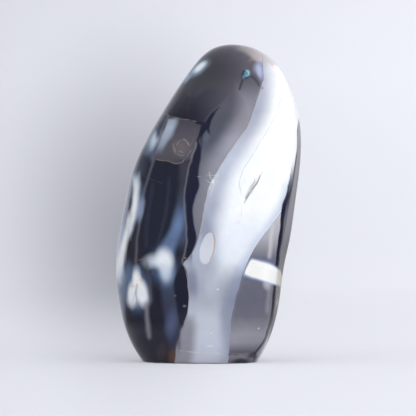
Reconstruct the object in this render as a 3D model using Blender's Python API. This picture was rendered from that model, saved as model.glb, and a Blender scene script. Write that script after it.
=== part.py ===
"""Polished freeform of orca agate: one piece of banded chalcedony, ground by hand and cut flat underneath.

It stands on the cut face with its broad face to the front (-Y) and its crown up (+Z). The origin is on the
cut face, under the middle of the stone. Sizes are in millimetres and become metres when the mesh is made.
The form is made in the order that a lapidary grinds it: an outline, a domed front and back, soft facets and
the flat cut underneath. The few pits and chips that the polish never reached come last.
"""

import math

import bmesh
import bpy
import numpy as np
from mathutils import Matrix, Vector

MM = 0.001

# Driving sizes of the finished stone
HEIGHT = 120.0
WIDTH = 70.0
DEPTH = 46.0

# The rough block that is ground down: a cube with this many squares along each edge
SQUARES_PER_EDGE = 22
CENTRE = np.array([0.0, 0.0, 60.0])
FARTHEST = 95.0
HALVINGS = 30

# The outline from the front, clockwise from the crown, as (x, z). It runs on below the cut at z = 0
OUTLINE = [
    (9.6, 120.4),
    (22.8, 115.8),
    (30.4, 105.4),
    (34.4, 93.0),
    (35.2, 80.0),
    (33.2, 61.5),
    (30.5, 44.5),
    (27.9, 30.5),
    (24.9, 13.5),
    (19.2, 0.6),
    (8.0, -10.0),
    (-6.5, -13.5),
    (-20.4, -5.0),
    (-29.6, 8.5),
    (-33.8, 22.5),
    (-35.1, 35.5),
    (-33.0, 52.5),
    (-28.1, 73.2),
    (-18.8, 92.0),
    (-7.6, 109.0),
    (0.2, 117.6),
]

# How the ground edge rolls over: a half round on the left and the crown, nearly a flat wall on the right
EDGE_RADIUS = 25.0
EDGE_DRAW_IN = 17.0
WIDEST_Y = 1.0
MOST_ROLL = 0.999
# The flat wall leans in towards the front and the back: the y where it starts to, and the lean
WALL_FRONT = (-1.0, 0.17)
WALL_BACK = (3.0, 0.25)
# The cosine of the angle from +X, seen from the front, at which the flat wall starts and is all there is
RIGHT_STARTS = 0.2
RIGHT_FULL = 0.85

# The domed faces: the middle of each as (x, z), its distance from the stone's middle plane, its dome's radii
FACE_FROM_MIDDLE = 23.0
FRONT_MIDDLE = (4.0, 48.0)
FRONT_RADII = (75.0, 240.0)
BACK_MIDDLE = (-2.0, 50.0)
BACK_RADII = (55.0, 225.0)

# How wide the ground-over edge is where a domed face meets the outline
ROLL_LEFT = 9.0
ROLL_RIGHT_FRONT = 2.0
ROLL_RIGHT_BACK = 6.0

# Soft facets: azimuth from the front (plus is right), elevation, a point on the facet, width of its edge
FACETS = {
    "left front": (-30.0, 4.0, (-8.5, -22.4, 52.0), 4.0),
    "left side": (-58.0, 3.0, (-27.6, -11.6, 50.0), 4.0),
    "front of the crown": (4.0, 37.0, (8.0, -21.0, 105.0), 10.0),
    "front of the foot": (2.0, -20.0, (0.0, -19.6, 3.4), 1.2),
    "left back": (-146.0, 2.0, (-14.0, 21.5, 55.0), 6.0),
    "right back": (148.0, 6.0, (15.0, 20.0, 60.0), 7.0),
    "back of the crown": (180.0, 39.0, (8.0, 20.0, 108.0), 10.0),
}

# The hand never holds the stone quite even against the wheel: the wave's height, and its lengths in x, y, z
WAVE_HEIGHT = 0.16
WAVE_LENGTHS = np.array([34.0, 29.0, 41.0])
WAVE_STARTS = np.array([0.9, 2.3, 4.1])

# The cut underneath. A corner of the mesh this close to it is moved onto it, so that it leaves no slivers
FOOT_SNAP = 1.6
FOOT_CHAMFER = 0.6
FOOT_CHAMFER_STEPS = 2

# Hollows in the front face: middle as (x, z), length, width, depth, and lean from upright in degrees
HOLLOWS = {
    "slit": ((16.0, 65.1), 13.0, 1.9, 0.9, 30.0),
    "scar": ((-0.2, 43.6), 13.1, 6.0, 0.4, 12.0),
    "crown_vug": ((13.9, 108.6), 3.0, 2.2, 1.0, 50.0),
}
# The chip in the right wall: angle below +X seen from the front, y, length, width, depth
CHIP = (54.3, -9.0, 6.8, 2.6, 0.8)
HOLLOW_SIDES = 20
HOLLOW_RINGS = 10

SMOOTH_UP_TO = math.radians(35)
AGATE_COLOUR = (0.12, 0.12, 0.15, 1.0)
AGATE_ROUGHNESS = 0.06


class ClosedCurve:
    """Radius by angle round the stone's centre: a closed cubic curve with no jump in its bend."""

    def __init__(self, points):
        """Fits the curve through points given as (x, z)."""
        away = np.array(points) - CENTRE[[0, 2]]
        angles = np.arctan2(away[:, 1], away[:, 0])
        order = np.argsort(angles)
        self.angles = angles[order]
        self.radii = np.hypot(away[:, 0], away[:, 1])[order]
        self.steps = np.diff(self.angles, append=self.angles[0] + 2 * math.pi)
        self.slopes = self._smooth_slopes()

    def _smooth_slopes(self):
        """Finds the slope at each point that lets the bend run on through it."""
        count = len(self.angles)
        rise = (np.roll(self.radii, -1) - self.radii) / self.steps
        weights = np.zeros((count, count))
        wanted = np.zeros(count)
        for i in range(count):
            before = 1 / self.steps[i - 1]
            after = 1 / self.steps[i]
            weights[i, i - 1] = before
            weights[i, i] = 2 * (before + after)
            weights[i, (i + 1) % count] = after
            wanted[i] = 3 * (rise[i - 1] * before + rise[i] * after)
        return np.linalg.solve(weights, wanted)

    def radius(self, angle):
        """Reads the curve's radius at each angle."""
        i = (np.searchsorted(self.angles, angle, side="right") - 1) % len(self.angles)
        j = (i + 1) % len(self.angles)
        step = self.steps[i]
        t = ((angle - self.angles[i]) % (2 * math.pi)) / step
        start = (1 + 2 * t) * (1 - t) ** 2 * self.radii[i] + t * (1 - t) ** 2 * step * self.slopes[i]
        end = t**2 * (3 - 2 * t) * self.radii[j] + t**2 * (t - 1) * step * self.slopes[j]
        return start + end


OUTLINE_CURVE = ClosedCurve(OUTLINE)


def ease(value, low, high):
    """Goes from 0 at low to 1 at high in a smooth step."""
    t = np.clip((value - low) / (high - low), 0, 1)
    return t * t * (3 - 2 * t)


def soft_join(first, second, width):
    """Takes the larger of two distances, with a rounded edge of this width where the two surfaces meet."""
    near = np.maximum(width - np.abs(first - second), 0) / width
    return np.maximum(first, second) + near * near * width / 4


def facing(azimuth, elevation):
    """Gives the unit vector that a facet faces along."""
    a = math.radians(azimuth)
    e = math.radians(elevation)
    return np.array([math.sin(a) * math.cos(e), -math.cos(a) * math.cos(e), math.sin(e)])


def dome_fall(x, z, middle, radii):
    """Gives how far a domed face has fallen back at x and z from its middle."""
    return (x - middle[0]) ** 2 / (2 * radii[0]) + (z - middle[1]) ** 2 / (2 * radii[1])


def distance(points):
    """Gives each point's distance from the ground surface in millimetres, below zero inside the stone."""
    x, y, z = points.T
    across = x - CENTRE[0]
    up = z - CENTRE[2]
    angle = np.arctan2(up, across)
    right = ease(np.cos(angle), RIGHT_STARTS, RIGHT_FULL)

    roll = np.clip((y - WIDEST_Y) / EDGE_RADIUS, -MOST_ROLL, MOST_ROLL)
    half_round = EDGE_DRAW_IN * (1 - np.sqrt(1 - roll**2))
    wall = WALL_FRONT[1] * np.maximum(WALL_FRONT[0] - y, 0) + WALL_BACK[1] * np.maximum(y - WALL_BACK[0], 0)
    rim = np.hypot(across, up) - OUTLINE_CURVE.radius(angle) + (1 - right) * half_round + right * wall
    front = dome_fall(x, z, FRONT_MIDDLE, FRONT_RADII) - y - FACE_FROM_MIDDLE
    back = dome_fall(x, z, BACK_MIDDLE, BACK_RADII) + y - FACE_FROM_MIDDLE

    stone = soft_join(rim, front, ROLL_LEFT + (ROLL_RIGHT_FRONT - ROLL_LEFT) * right)
    stone = soft_join(stone, back, ROLL_LEFT + (ROLL_RIGHT_BACK - ROLL_LEFT) * right)
    for azimuth, elevation, point, width in FACETS.values():
        stone = soft_join(stone, (points - point) @ facing(azimuth, elevation), width)
    waves = np.sin(2 * math.pi * points / WAVE_LENGTHS + WAVE_STARTS)
    return stone + WAVE_HEIGHT * waves.prod(axis=1)


def halve_to_surface(inside, outside):
    """Finds the surface between a point inside and a point outside, for each pair."""
    for _ in range(HALVINGS):
        middle = (inside + outside) / 2
        within = (distance(middle) < 0)[:, None]
        inside = np.where(within, middle, inside)
        outside = np.where(within, outside, middle)
    return (inside + outside) / 2


def outward(point, step=0.5):
    """Gives the unit vector that points straight out of the stone at a point of its surface."""
    shifts = np.vstack([np.eye(3), -np.eye(3)]) * step
    values = distance(point + shifts)
    slope = values[:3] - values[3:]
    return slope / np.linalg.norm(slope)


def front_point(x, z):
    """Finds the point of the front face at x and z."""
    return halve_to_surface(np.array([[x, 0.0, z]]), np.array([[x, -DEPTH, z]]))[0]


def wall_point(angle, y):
    """Finds the point of the right wall at an angle below +X, at depth y."""
    way = np.array([math.cos(math.radians(angle)), 0.0, -math.sin(math.radians(angle))])
    start = CENTRE + [0.0, y, 0.0]
    return halve_to_surface(start[None], (start + way * FARTHEST)[None])[0]


def clear_scene():
    """Removes what the startup scene holds."""
    for obj in list(bpy.data.objects):
        bpy.data.objects.remove(obj)


def agate_material():
    """Makes smoky chalcedony, ground and polished to a glassy shine."""
    material = bpy.data.materials.new("polished_agate")
    material.use_nodes = True
    shader = material.node_tree.nodes["Principled BSDF"]
    shader.inputs["Base Color"].default_value = AGATE_COLOUR
    shader.inputs["Roughness"].default_value = AGATE_ROUGHNESS
    shader.inputs["Metallic"].default_value = 0.0
    return material


def grind_block(bm):
    """Makes the rough block, a cube of even squares, and moves its corners onto the stone's surface."""
    bmesh.ops.create_cube(bm, size=2.0)
    bmesh.ops.subdivide_edges(bm, edges=bm.edges[:], cuts=SQUARES_PER_EDGE - 1, use_grid_fill=True)
    cube = np.array([vertex.co for vertex in bm.verts], float)
    ways = np.tan(cube * math.pi / 4)
    ways = ways / np.linalg.norm(ways, axis=1)[:, None] * [WIDTH, DEPTH, HEIGHT]
    ways = ways / np.linalg.norm(ways, axis=1)[:, None]
    start = np.tile(CENTRE, (len(ways), 1))
    places = halve_to_surface(start, start + ways * FARTHEST)
    close = np.abs(places[:, 2]) < FOOT_SNAP
    on_cut = places[close] * [1.0, 1.0, 0.0]
    places[close] = halve_to_surface(np.zeros_like(on_cut), on_cut * 2)
    for vertex, place in zip(bm.verts, places):
        vertex.co = Vector(place * MM)


def cut_foot(bm):
    """Cuts the stone off flat at z = 0 and closes the cut.

    Returns the edges round the cut.
    """
    everything = bm.verts[:] + bm.edges[:] + bm.faces[:]
    cut = bmesh.ops.bisect_plane(
        bm, geom=everything, dist=1e-6, plane_co=(0, 0, 0), plane_no=(0, 0, -1), clear_outer=True
    )
    rim = [item for item in cut["geom_cut"] if isinstance(item, bmesh.types.BMEdge)]
    bmesh.ops.contextual_create(bm, geom=rim)
    bmesh.ops.recalc_face_normals(bm, faces=bm.faces[:])
    return rim


def fit_to_size(bm):
    """Stretches the stone to its driving sizes, centred over the origin.

    Returns the matrix that did it.
    """
    places = np.array([vertex.co for vertex in bm.verts], float)
    low, high = places.min(axis=0), places.max(axis=0)
    stretch = np.array([WIDTH, DEPTH, HEIGHT]) * MM / (high - low)
    middle = (low + high) / 2
    shift = Matrix.Translation((-middle[0] * stretch[0], -middle[1] * stretch[1], 0.0))
    fit = shift @ Matrix.Diagonal((*stretch, 1.0))
    bmesh.ops.transform(bm, matrix=fit, verts=bm.verts[:])
    return fit


def make_stone():
    """Makes the stone before its hollows.

    Returns the stone and the matrix that took the ground form to its driving sizes.
    """
    bm = bmesh.new()
    grind_block(bm)
    rim = cut_foot(bm)
    fit = fit_to_size(bm)
    bmesh.ops.bevel(
        bm, geom=rim, offset=FOOT_CHAMFER * MM, segments=FOOT_CHAMFER_STEPS, profile=0.5, affect="EDGES"
    )
    mesh = bpy.data.meshes.new("agate")
    bm.to_mesh(mesh)
    bm.free()
    mesh.shade_smooth()
    mesh.set_sharp_from_angle(angle=SMOOTH_UP_TO)
    mesh.materials.append(agate_material())
    stone = bpy.data.objects.new("agate", mesh)
    bpy.context.scene.collection.objects.link(stone)
    return stone, fit


def sink_hollow(stone, fit, name, point, length, width, depth, lean=0.0):
    """Cuts an oval hollow into the stone at a point of its ground surface."""
    out = Vector(outward(point))
    up = Matrix.Rotation(math.radians(lean), 3, -out) @ Vector((0, 0, 1))
    up = (up - out * up.dot(out)).normalized()
    axes = Matrix((up.cross(out), out, up)).transposed().to_4x4()
    half_sizes = Matrix.Diagonal((width / 2 * MM, depth * MM, length / 2 * MM, 1.0))
    bm = bmesh.new()
    bmesh.ops.create_uvsphere(bm, u_segments=HOLLOW_SIDES, v_segments=HOLLOW_RINGS, radius=1.0)
    bmesh.ops.transform(bm, matrix=axes @ half_sizes, verts=bm.verts[:])
    bmesh.ops.recalc_face_normals(bm, faces=bm.faces[:])
    mesh = bpy.data.meshes.new(name + "_cutter")
    bm.to_mesh(mesh)
    bm.free()
    cutter = bpy.data.objects.new(name + "_cutter", mesh)
    cutter.location = fit @ Vector(point * MM)
    cutter.hide_render = True
    cutter.display_type = "WIRE"
    bpy.context.scene.collection.objects.link(cutter)
    cut = stone.modifiers.new(name, "BOOLEAN")
    cut.operation = "DIFFERENCE"
    cut.solver = "EXACT"
    cut.object = cutter


def main():
    """Makes the stone and the hollows in it."""
    clear_scene()
    stone, fit = make_stone()
    for name, ((x, z), length, width, depth, lean) in HOLLOWS.items():
        sink_hollow(stone, fit, name, front_point(x, z), length, width, depth, lean)
    angle, y, length, width, depth = CHIP
    sink_hollow(stone, fit, "chip", wall_point(angle, y), length, width, depth)


main()
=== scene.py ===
"""The polished orca agate freeform, dressed and lit for the photo's view.

The stone is ground again here from the same measures as its CAD node, finely enough for a glassy polish, and
fitted to that node's box. Its markings are shapes in millimetres on the stone, x to the right and z up as seen
from the front. They are measured at the mesh's corners and mixed by shader nodes. Their colours are written as
they look in the studio's light.
"""

import logging
import math
from collections.abc import Mapping, Sequence
from dataclasses import KW_ONLY, dataclass, field, replace
from enum import Enum

import bpy
import numpy as np
from mathutils import Matrix, Vector, noise

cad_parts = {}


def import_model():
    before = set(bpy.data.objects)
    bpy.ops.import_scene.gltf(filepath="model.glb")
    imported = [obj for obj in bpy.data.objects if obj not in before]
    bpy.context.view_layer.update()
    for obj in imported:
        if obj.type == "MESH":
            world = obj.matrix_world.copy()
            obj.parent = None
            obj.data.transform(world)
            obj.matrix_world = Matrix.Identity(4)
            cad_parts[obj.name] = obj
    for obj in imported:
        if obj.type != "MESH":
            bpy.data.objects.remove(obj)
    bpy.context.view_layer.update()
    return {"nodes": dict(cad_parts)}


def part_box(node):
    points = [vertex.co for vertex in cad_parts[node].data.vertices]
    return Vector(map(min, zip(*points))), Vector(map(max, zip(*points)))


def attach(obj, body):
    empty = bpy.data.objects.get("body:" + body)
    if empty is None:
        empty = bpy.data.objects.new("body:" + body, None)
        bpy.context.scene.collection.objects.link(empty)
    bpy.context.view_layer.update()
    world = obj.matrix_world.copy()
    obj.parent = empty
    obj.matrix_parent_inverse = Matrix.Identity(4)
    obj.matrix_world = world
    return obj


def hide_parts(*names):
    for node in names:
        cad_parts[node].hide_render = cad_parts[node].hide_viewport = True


frame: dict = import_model()

LOG = logging.getLogger("agate")

MM = 0.001
BODY = "root"
NODE = "agate"

Point = tuple[float, float]
Triple = tuple[float, float, float]
Curve = tuple[Point, ...]
Stops = tuple[tuple[float, str], ...]
Socket = bpy.types.NodeSocket
Value = Socket | float | Sequence[float]


def linear(code: str) -> np.ndarray:
    """Turns an sRGB colour into linear light.

    Args:
        code: The colour as #RRGGBB.

    Returns:
        Its linear red, green and blue.
    """
    coded = np.array([int(code[i : i + 2], 16) for i in (1, 3, 5)]) / 255
    return np.where(coded <= 0.04045, coded / 12.92, ((coded + 0.055) / 1.055) ** 2.4)


# What the polish reflects of the dim side of the studio, and how much light falls on the front of the stone
GLOSS_SEEN = 0.011
LIGHT_SEEN = (0.97, 0.97, 1.03)
# The least and the most light that the stone's own colours give back
DARKEST = 0.002
BRIGHTEST = 0.97


def stone_colour(seen: str) -> tuple[float, float, float, float]:
    """Finds the stone's own colour from how it looks in the studio.

    Args:
        seen: The colour seen, as #RRGGBB.

    Returns:
        The linear colour of the stone itself, without the gloss on it, and an alpha of 1.
    """
    own = np.clip((linear(seen) - GLOSS_SEEN) / LIGHT_SEEN, DARKEST, BRIGHTEST)
    return (*own.tolist(), 1.0)


def plain_colour(code: str) -> tuple[float, float, float, float]:
    """Gives a colour as it is, linear, with an alpha of 1."""
    return (*linear(code).tolist(), 1.0)


def empty_material(name: str) -> bpy.types.Material:
    """Makes a material with an empty node tree."""
    material = bpy.data.materials.new(name)
    material.use_nodes = True
    material.node_tree.nodes.clear()
    return material


def read_corners(piece: bpy.types.Object) -> np.ndarray:
    """Reads the corners of a piece's mesh, in metres."""
    places = np.empty(len(piece.data.vertices) * 3, np.float32)
    piece.data.vertices.foreach_get("co", places)
    return places.reshape(-1, 3).astype(float)


class Axis(Enum):
    """The way that a marking runs on the stone."""

    UP = "up"
    ACROSS = "across"


class Side(Enum):
    """The side of the stone that a marking is on."""

    FRONT = "front"
    BACK = "back"
    ROUND = "round"


class NodeTree:
    """A shader's node tree and the one way that nodes are added to it."""

    def __init__(self, tree: bpy.types.NodeTree) -> None:
        """Takes an empty node tree."""
        self.tree = tree

    def add(
        self, kind: str, inputs: Mapping[int | str, Value] | None = None, **settings: object
    ) -> bpy.types.Node:
        """Adds a node, sets it and links it.

        Args:
            kind: The node's Blender type.
            inputs: A socket to link or a value to set, for each input by name or number.
            settings: The node's own settings.

        Returns:
            The new node.
        """
        node = self.tree.nodes.new(kind)
        for name, value in settings.items():
            setattr(node, name, value)
        for key, value in (inputs or {}).items():
            if isinstance(value, bpy.types.NodeSocket):
                self.tree.links.new(value, node.inputs[key])
            else:
                node.inputs[key].default_value = value
        return node

    def ramp(self, value: Socket, low: float, high: float, most: float = 1.0) -> Socket:
        """Goes in a smooth step from 0 where the value is low to the most where it is high."""
        inputs = {0: value, 1: low, 2: high, 4: most}
        return self.add("ShaderNodeMapRange", inputs, interpolation_type="SMOOTHSTEP").outputs[0]

    def blend(self, cover: Socket, under: Value, over: Value) -> Socket:
        """Lays one colour over another where it covers."""
        return self.add("ShaderNodeMix", {0: cover, 6: under, 7: over}, data_type="RGBA").outputs[2]


@dataclass(frozen=True)
class Strain:
    """How the banding wanders, finely everywhere and widely towards the back, and where lines break."""

    seed: int = 7
    fine_height: float = 0.3
    fine_length: float = 3.4
    wide_height: float = 9.0
    wide_length: float = 30.0
    wide_from_y: float = -11.0
    wide_full_y: float = 12.0
    gap_length: float = 2.6
    gap_from: float = -0.3
    gap_full: float = 0.5


@dataclass(frozen=True)
class Sides:
    """The y where the front's markings end and where the back's start, how softly and how unevenly."""

    front_ends: float = 6.0
    back_starts: float = 6.0
    fade: float = 6.0
    wander: float = 8.0
    wander_length: float = 15.0


# How far within a marking counts as well within it, in the soft widths of its borders
WELL_WITHIN = 4.0

# The domed front, which the sheets lie behind: its middle as (x, z), its radii and how far it stands out
FRONT_MIDDLE: Point = (4.0, 48.0)
FRONT_RADII: Point = (75.0, 240.0)
FACE_FROM_MIDDLE = 23.0


def dome_fall(x: np.ndarray, z: np.ndarray, middle: Point, radii: Point) -> np.ndarray:
    """Gives how far a domed face has fallen back from its middle."""
    return (x - middle[0]) ** 2 / (2 * radii[0]) + (z - middle[1]) ** 2 / (2 * radii[1])


def ease(value: np.ndarray, low: float, high: float) -> np.ndarray:
    """Goes from 0 at low to 1 at high in a smooth step."""
    t = np.clip((value - low) / (high - low), 0, 1)
    return t * t * (3 - 2 * t)


def smooth_through(points: Sequence[Point], at: np.ndarray) -> np.ndarray:
    """Reads a smooth curve through points, level beyond its ends.

    Args:
        points: The points as (place along, value), in order.
        at: The places to read it at.

    Returns:
        The curve's value at each place.
    """
    places, values = np.array(points).T
    steps = np.diff(places)
    rises = np.diff(values) / steps
    slopes = np.concatenate([rises[:1], (rises[:-1] + rises[1:]) / 2, rises[-1:]])
    at = np.clip(at, places[0], places[-1])
    i = np.clip(np.searchsorted(places, at, side="right") - 1, 0, len(steps) - 1)
    step = steps[i]
    t = (at - places[i]) / step
    start = (1 + 2 * t) * (1 - t) ** 2 * values[i] + t * (1 - t) ** 2 * step * slopes[i]
    end = t**2 * (3 - 2 * t) * values[i + 1] + t**2 * (t - 1) * step * slopes[i + 1]
    return start + end


class Places:
    """The places of the stone's corners in millimetres, as the banding wanders over them."""

    def __init__(self, corners: np.ndarray, strain: Strain, sides: Sides) -> None:
        """Lets the banding wander.

        Args:
            corners: The mesh's corners in millimetres.
            strain: How the banding wanders.
            sides: Where the front and the back begin.
        """
        noise.seed_set(strain.seed)
        self.y = corners[:, 1]
        self.depth = self.y + self._noise(corners, sides.wander_length)[:, 0] * sides.wander
        self.true_z = corners[:, 2]
        self.sides = sides
        wide = strain.wide_height * ease(self.y, strain.wide_from_y, strain.wide_full_y)
        moved = corners + self._noise(corners, strain.wide_length) * wide[:, None]
        moved = moved + self._noise(corners, strain.fine_length) * strain.fine_height
        self.x = moved[:, 0]
        self.z = moved[:, 2]
        self.gaps = ease(self._noise(corners, strain.gap_length)[:, 0], strain.gap_from, strain.gap_full)

    @staticmethod
    def _noise(corners: np.ndarray, length: float) -> np.ndarray:
        """Gives smooth noise with waves of this length at each corner."""
        return np.array([noise.noise_vector(corner) for corner in corners / length])

    def axes(self, runs: Axis) -> tuple[np.ndarray, np.ndarray]:
        """Gives the places along a marking and across it, for the way that it runs."""
        return (self.z, self.x) if runs is Axis.UP else (self.x, self.z)

    def border(self, points: Curve, runs: Axis) -> np.ndarray:
        """Gives where a border or a line through points (x, z) lies across the marking at each corner."""
        if runs is Axis.UP:
            return smooth_through(sorted((z, x) for x, z in points), self.z)
        return smooth_through(sorted(points), self.x)

    def off_side(self, side: Side) -> np.ndarray:
        """Gives how far each corner is past the edge of a side, in widths of its fade."""
        if side is Side.FRONT:
            return (self.depth - self.sides.front_ends) / self.sides.fade
        if side is Side.BACK:
            return (self.sides.back_starts - self.depth) / self.sides.fade
        return np.full(len(self.y), -WELL_WITHIN)


class Pen(NodeTree):
    """Draws the markings in a material's nodes, from what the mesh's corners hold about each."""

    def __init__(self, material: bpy.types.Material, mesh: bpy.types.Mesh, places: Places) -> None:
        """Starts with no marking.

        Args:
            material: The material, with an empty node tree.
            mesh: The stone's mesh.
            places: The places of its corners.
        """
        super().__init__(material.node_tree)
        self.mesh = mesh
        self.places = places
        self.count = 0
        coordinates = self.add("ShaderNodeTexCoord")
        self.place = self.add(
            "ShaderNodeVectorMath", {0: coordinates.outputs["Object"], "Scale": 1 / MM}, operation="SCALE"
        ).outputs[0]
        parts = self.add("ShaderNodeSeparateXYZ", {0: self.place})
        self.along = {Axis.UP: parts.outputs["Z"], Axis.ACROSS: parts.outputs["X"]}

    def store(self, values: np.ndarray) -> bpy.types.Node:
        """Keeps a value or a vector for each corner of the mesh.

        Args:
            values: One row for each corner.

        Returns:
            The node that reads it.
        """
        name = f"marking_{self.count:03d}"
        self.count += 1
        kind, part = ("FLOAT", "value") if values.ndim == 1 else ("FLOAT_VECTOR", "vector")
        attribute = self.mesh.attributes.new(name, kind, "POINT")
        attribute.data.foreach_set(part, values.astype(np.float32).ravel())
        return self.add("ShaderNodeAttribute", attribute_name=name)

    def near(self, off: Sequence[np.ndarray], edge: float, inner: float, most: float) -> Socket:
        """Covers where the corners are near a marking.

        Args:
            off: How far each corner is off the marking, in three directions.
            edge: How far off the cover starts.
            inner: How far off it is full.
            most: How much it covers there.

        Returns:
            How much the marking covers.
        """
        stored = self.store(np.column_stack(off))
        away = self.add("ShaderNodeVectorMath", {0: stored.outputs["Vector"]}, operation="LENGTH")
        return self.ramp(away.outputs["Value"], edge, inner, most)

    def tint(self, colours: Stops | str, runs: Axis) -> Value:
        """Gives a marking's colour: one colour, or several that blend along it.

        Args:
            colours: A colour as seen, or (place along the marking, colour as seen) for each stop.
            runs: The way that the marking runs.

        Returns:
            The colour or the socket that gives it.
        """
        if isinstance(colours, str):
            return stone_colour(colours)
        low, high = colours[0][0], colours[-1][0]
        share = self.add("ShaderNodeMapRange", {0: self.along[runs], 1: low, 2: high})
        node = self.add("ShaderNodeValToRGB", {0: share.outputs[0]})
        for _ in colours[2:]:
            node.color_ramp.elements.new(0.5)
        for element, (place, colour) in zip(node.color_ramp.elements, colours):
            element.position = (place - low) / (high - low)
            element.color = stone_colour(colour)
        return node.outputs[0]


@dataclass(frozen=True)
class Marking:
    """One marking: its colours along it, how strongly it covers, the side it is on and the way it runs."""

    colours: Stops | str
    _: KW_ONLY
    strength: float = 1.0
    side: Side = Side.FRONT
    runs: Axis = Axis.UP

    def cover(self, pen: Pen) -> Socket:
        """Gives how much the marking covers, from 0 to its strength."""
        raise NotImplementedError

    def paint(self, pen: Pen, under: Value) -> Socket:
        """Paints the marking over the colour under it.

        Args:
            pen: The material's pen.
            under: The colour so far.

        Returns:
            The colour with the marking on it.
        """
        return pen.blend(self.cover(pen), under, pen.tint(self.colours, self.runs))


@dataclass(frozen=True)
class Depth:
    """How deep a sheet reaches behind the domed front: two heights, each with its depth there."""

    low: Point = (87.0, 1.2)
    high: Point = (96.0, 15.0)
    soft: float = 0.8

    def within(self, places: Places) -> np.ndarray:
        """Gives how far each corner is within the sheet, in its soft widths."""
        behind = places.y + FACE_FROM_MIDDLE - dome_fall(places.x, places.z, FRONT_MIDDLE, FRONT_RADII)
        share = ease(places.true_z, self.low[0], self.high[0])
        return (self.low[1] + (self.high[1] - self.low[1]) * share - behind) / self.soft


@dataclass(frozen=True)
class Band(Marking):
    """A marking between two borders, each given as (x, z), that ends at two places along it."""

    first: Curve
    second: Curve
    _: KW_ONLY
    ends: Point
    soft: Point
    end_soft: Point = (1.0, 1.0)
    depth: Depth | None = None

    def cover(self, pen: Pen) -> Socket:
        """Gives how much the band covers, from 0 to its strength."""
        places = pen.places
        along, across = places.axes(self.runs)
        within = [
            (across - places.border(self.first, self.runs)) / self.soft[0],
            (places.border(self.second, self.runs) - across) / self.soft[1],
            (along - self.ends[0]) / self.end_soft[0],
            (self.ends[1] - along) / self.end_soft[1],
            -places.off_side(self.side),
        ]
        if self.depth:
            within.append(self.depth.within(places))
        stored = pen.store(np.clip(np.min(within, axis=0), -WELL_WITHIN, WELL_WITHIN))
        return pen.ramp(stored.outputs["Fac"], -0.5, 0.5, self.strength)


@dataclass(frozen=True)
class Stroke(Marking):
    """A thin marking of a width with soft edges, broken here and there by the stone's gaps."""

    _: KW_ONLY
    width: float = 0.3
    soft: float = 0.5
    broken: float = 0.5

    def drawn(self, pen: Pen, off: np.ndarray, past: np.ndarray | float = 0.0) -> Socket:
        """Draws the stroke.

        Args:
            pen: The material's pen.
            off: How far each corner is off the stroke's middle, in millimetres.
            past: How far it is past the stroke's ends, in widths of their fade.

        Returns:
            How much the stroke covers, from 0 to its strength.
        """
        reach = self.width + self.soft
        gap = pen.places.gaps * self.broken * reach
        off_side = np.maximum(pen.places.off_side(self.side), 0)
        edge = self.width / 2
        return pen.near(
            [off, past * reach + gap, off_side * reach],
            edge + self.soft / 2,
            edge - self.soft / 2,
            self.strength,
        )


@dataclass(frozen=True)
class Line(Stroke):
    """A thin line through points given as (x, z)."""

    points: Curve
    fade: float = 1.5

    def cover(self, pen: Pen) -> Socket:
        """Gives how much the line covers, from 0 to its strength."""
        along, across = pen.places.axes(self.runs)
        ends = [z if self.runs is Axis.UP else x for x, z in self.points]
        past = np.maximum.reduce([min(ends) - along, along - max(ends), np.zeros(len(along))]) / self.fade
        return self.drawn(pen, across - pen.places.border(self.points, self.runs), past)


@dataclass(frozen=True)
class Cloud(Marking):
    """A soft oval: its middle as (x, z), half its sizes, its lean from upright, and its even share."""

    middle: Point
    half: Point
    lean: float = 0.0
    even: float = 0.2

    def cover(self, pen: Pen) -> Socket:
        """Gives how much the cloud covers, from 0 to its strength."""
        places = pen.places
        lean = math.radians(self.lean)
        right = places.x - self.middle[0]
        up = places.z - self.middle[1]
        across = (right * math.cos(lean) - up * math.sin(lean)) / self.half[0]
        along = (right * math.sin(lean) + up * math.cos(lean)) / self.half[1]
        off_side = np.maximum(places.off_side(self.side), 0)
        return pen.near([across, off_side, along], 1.0, self.even, self.strength)


@dataclass(frozen=True)
class Ring(Stroke):
    """A thin ring round a middle given as (x, z)."""

    middle: Point
    radius: float

    def cover(self, pen: Pen) -> Socket:
        """Gives how much the ring covers, from 0 to its strength."""
        places = pen.places
        return self.drawn(pen, np.hypot(places.x - self.middle[0], places.z - self.middle[1]) - self.radius)


def beside(points: Curve, across: float) -> Curve:
    """Gives the curve that runs beside another, to its right where across is positive."""
    return tuple((x + across, z) for x, z in points)


# Borders that several markings share, from the front, as (x, z)
CRACK: Curve = (
    (20.2, 116), (20.5, 110), (20.5, 105.5), (18.3, 98.7), (14.9, 89.1), (10.6, 83), (3.9, 72.7),
    (0.4, 66.7), (-1.3, 59.6), (-2.5, 52.2), (-3.2, 48.8), (-5.1, 42.9), (-7.4, 39.5), (-9.6, 37.3),
)
VEIN_LEFT: Curve = (
    (-4.1, 83), (-6, 75.2), (-7.5, 67.4), (-8.1, 59.2), (-7.4, 49), (-8, 42.5), (-9.7, 37),
)
VEIN_RIGHT: Curve = (
    (-3.5, 83), (-2.8, 78.8), (-3, 75.8), (-3.9, 70), (-3.3, 67), (-5.3, 60.7), (-5.8, 55), (-4.5, 46),
    (-5.4, 43.3), (-9.6, 37),
)
BAND_LEFT: Curve = (
    *CRACK, (-8.6, 35), (-7.5, 30), (-7.4, 24), (-8.2, 17.4), (-10, 12.7), (-12, 6), (-12.6, 0),
)
BAND_RIGHT: Curve = (
    (60, 112), (40, 99), (35.2, 92), (33.8, 86.2), (32.1, 73.6), (28.8, 60.2), (24.9, 53.6),
    (20.1, 47.7), (16.7, 42.1), (14.1, 37.3), (12.4, 32.4), (10.2, 25.1), (8.5, 16.5), (7.8, 5.3),
    (7.3, 0),
)
CORE_LEFT: Curve = (
    (22.4, 115), (23.1, 107.9), (21.7, 98.4), (18.8, 89), (12.8, 78.9), (7.6, 70.3), (3.9, 59.2),
    (2.2, 52.9), (1.8, 46.2), (2.6, 34),
)
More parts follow.
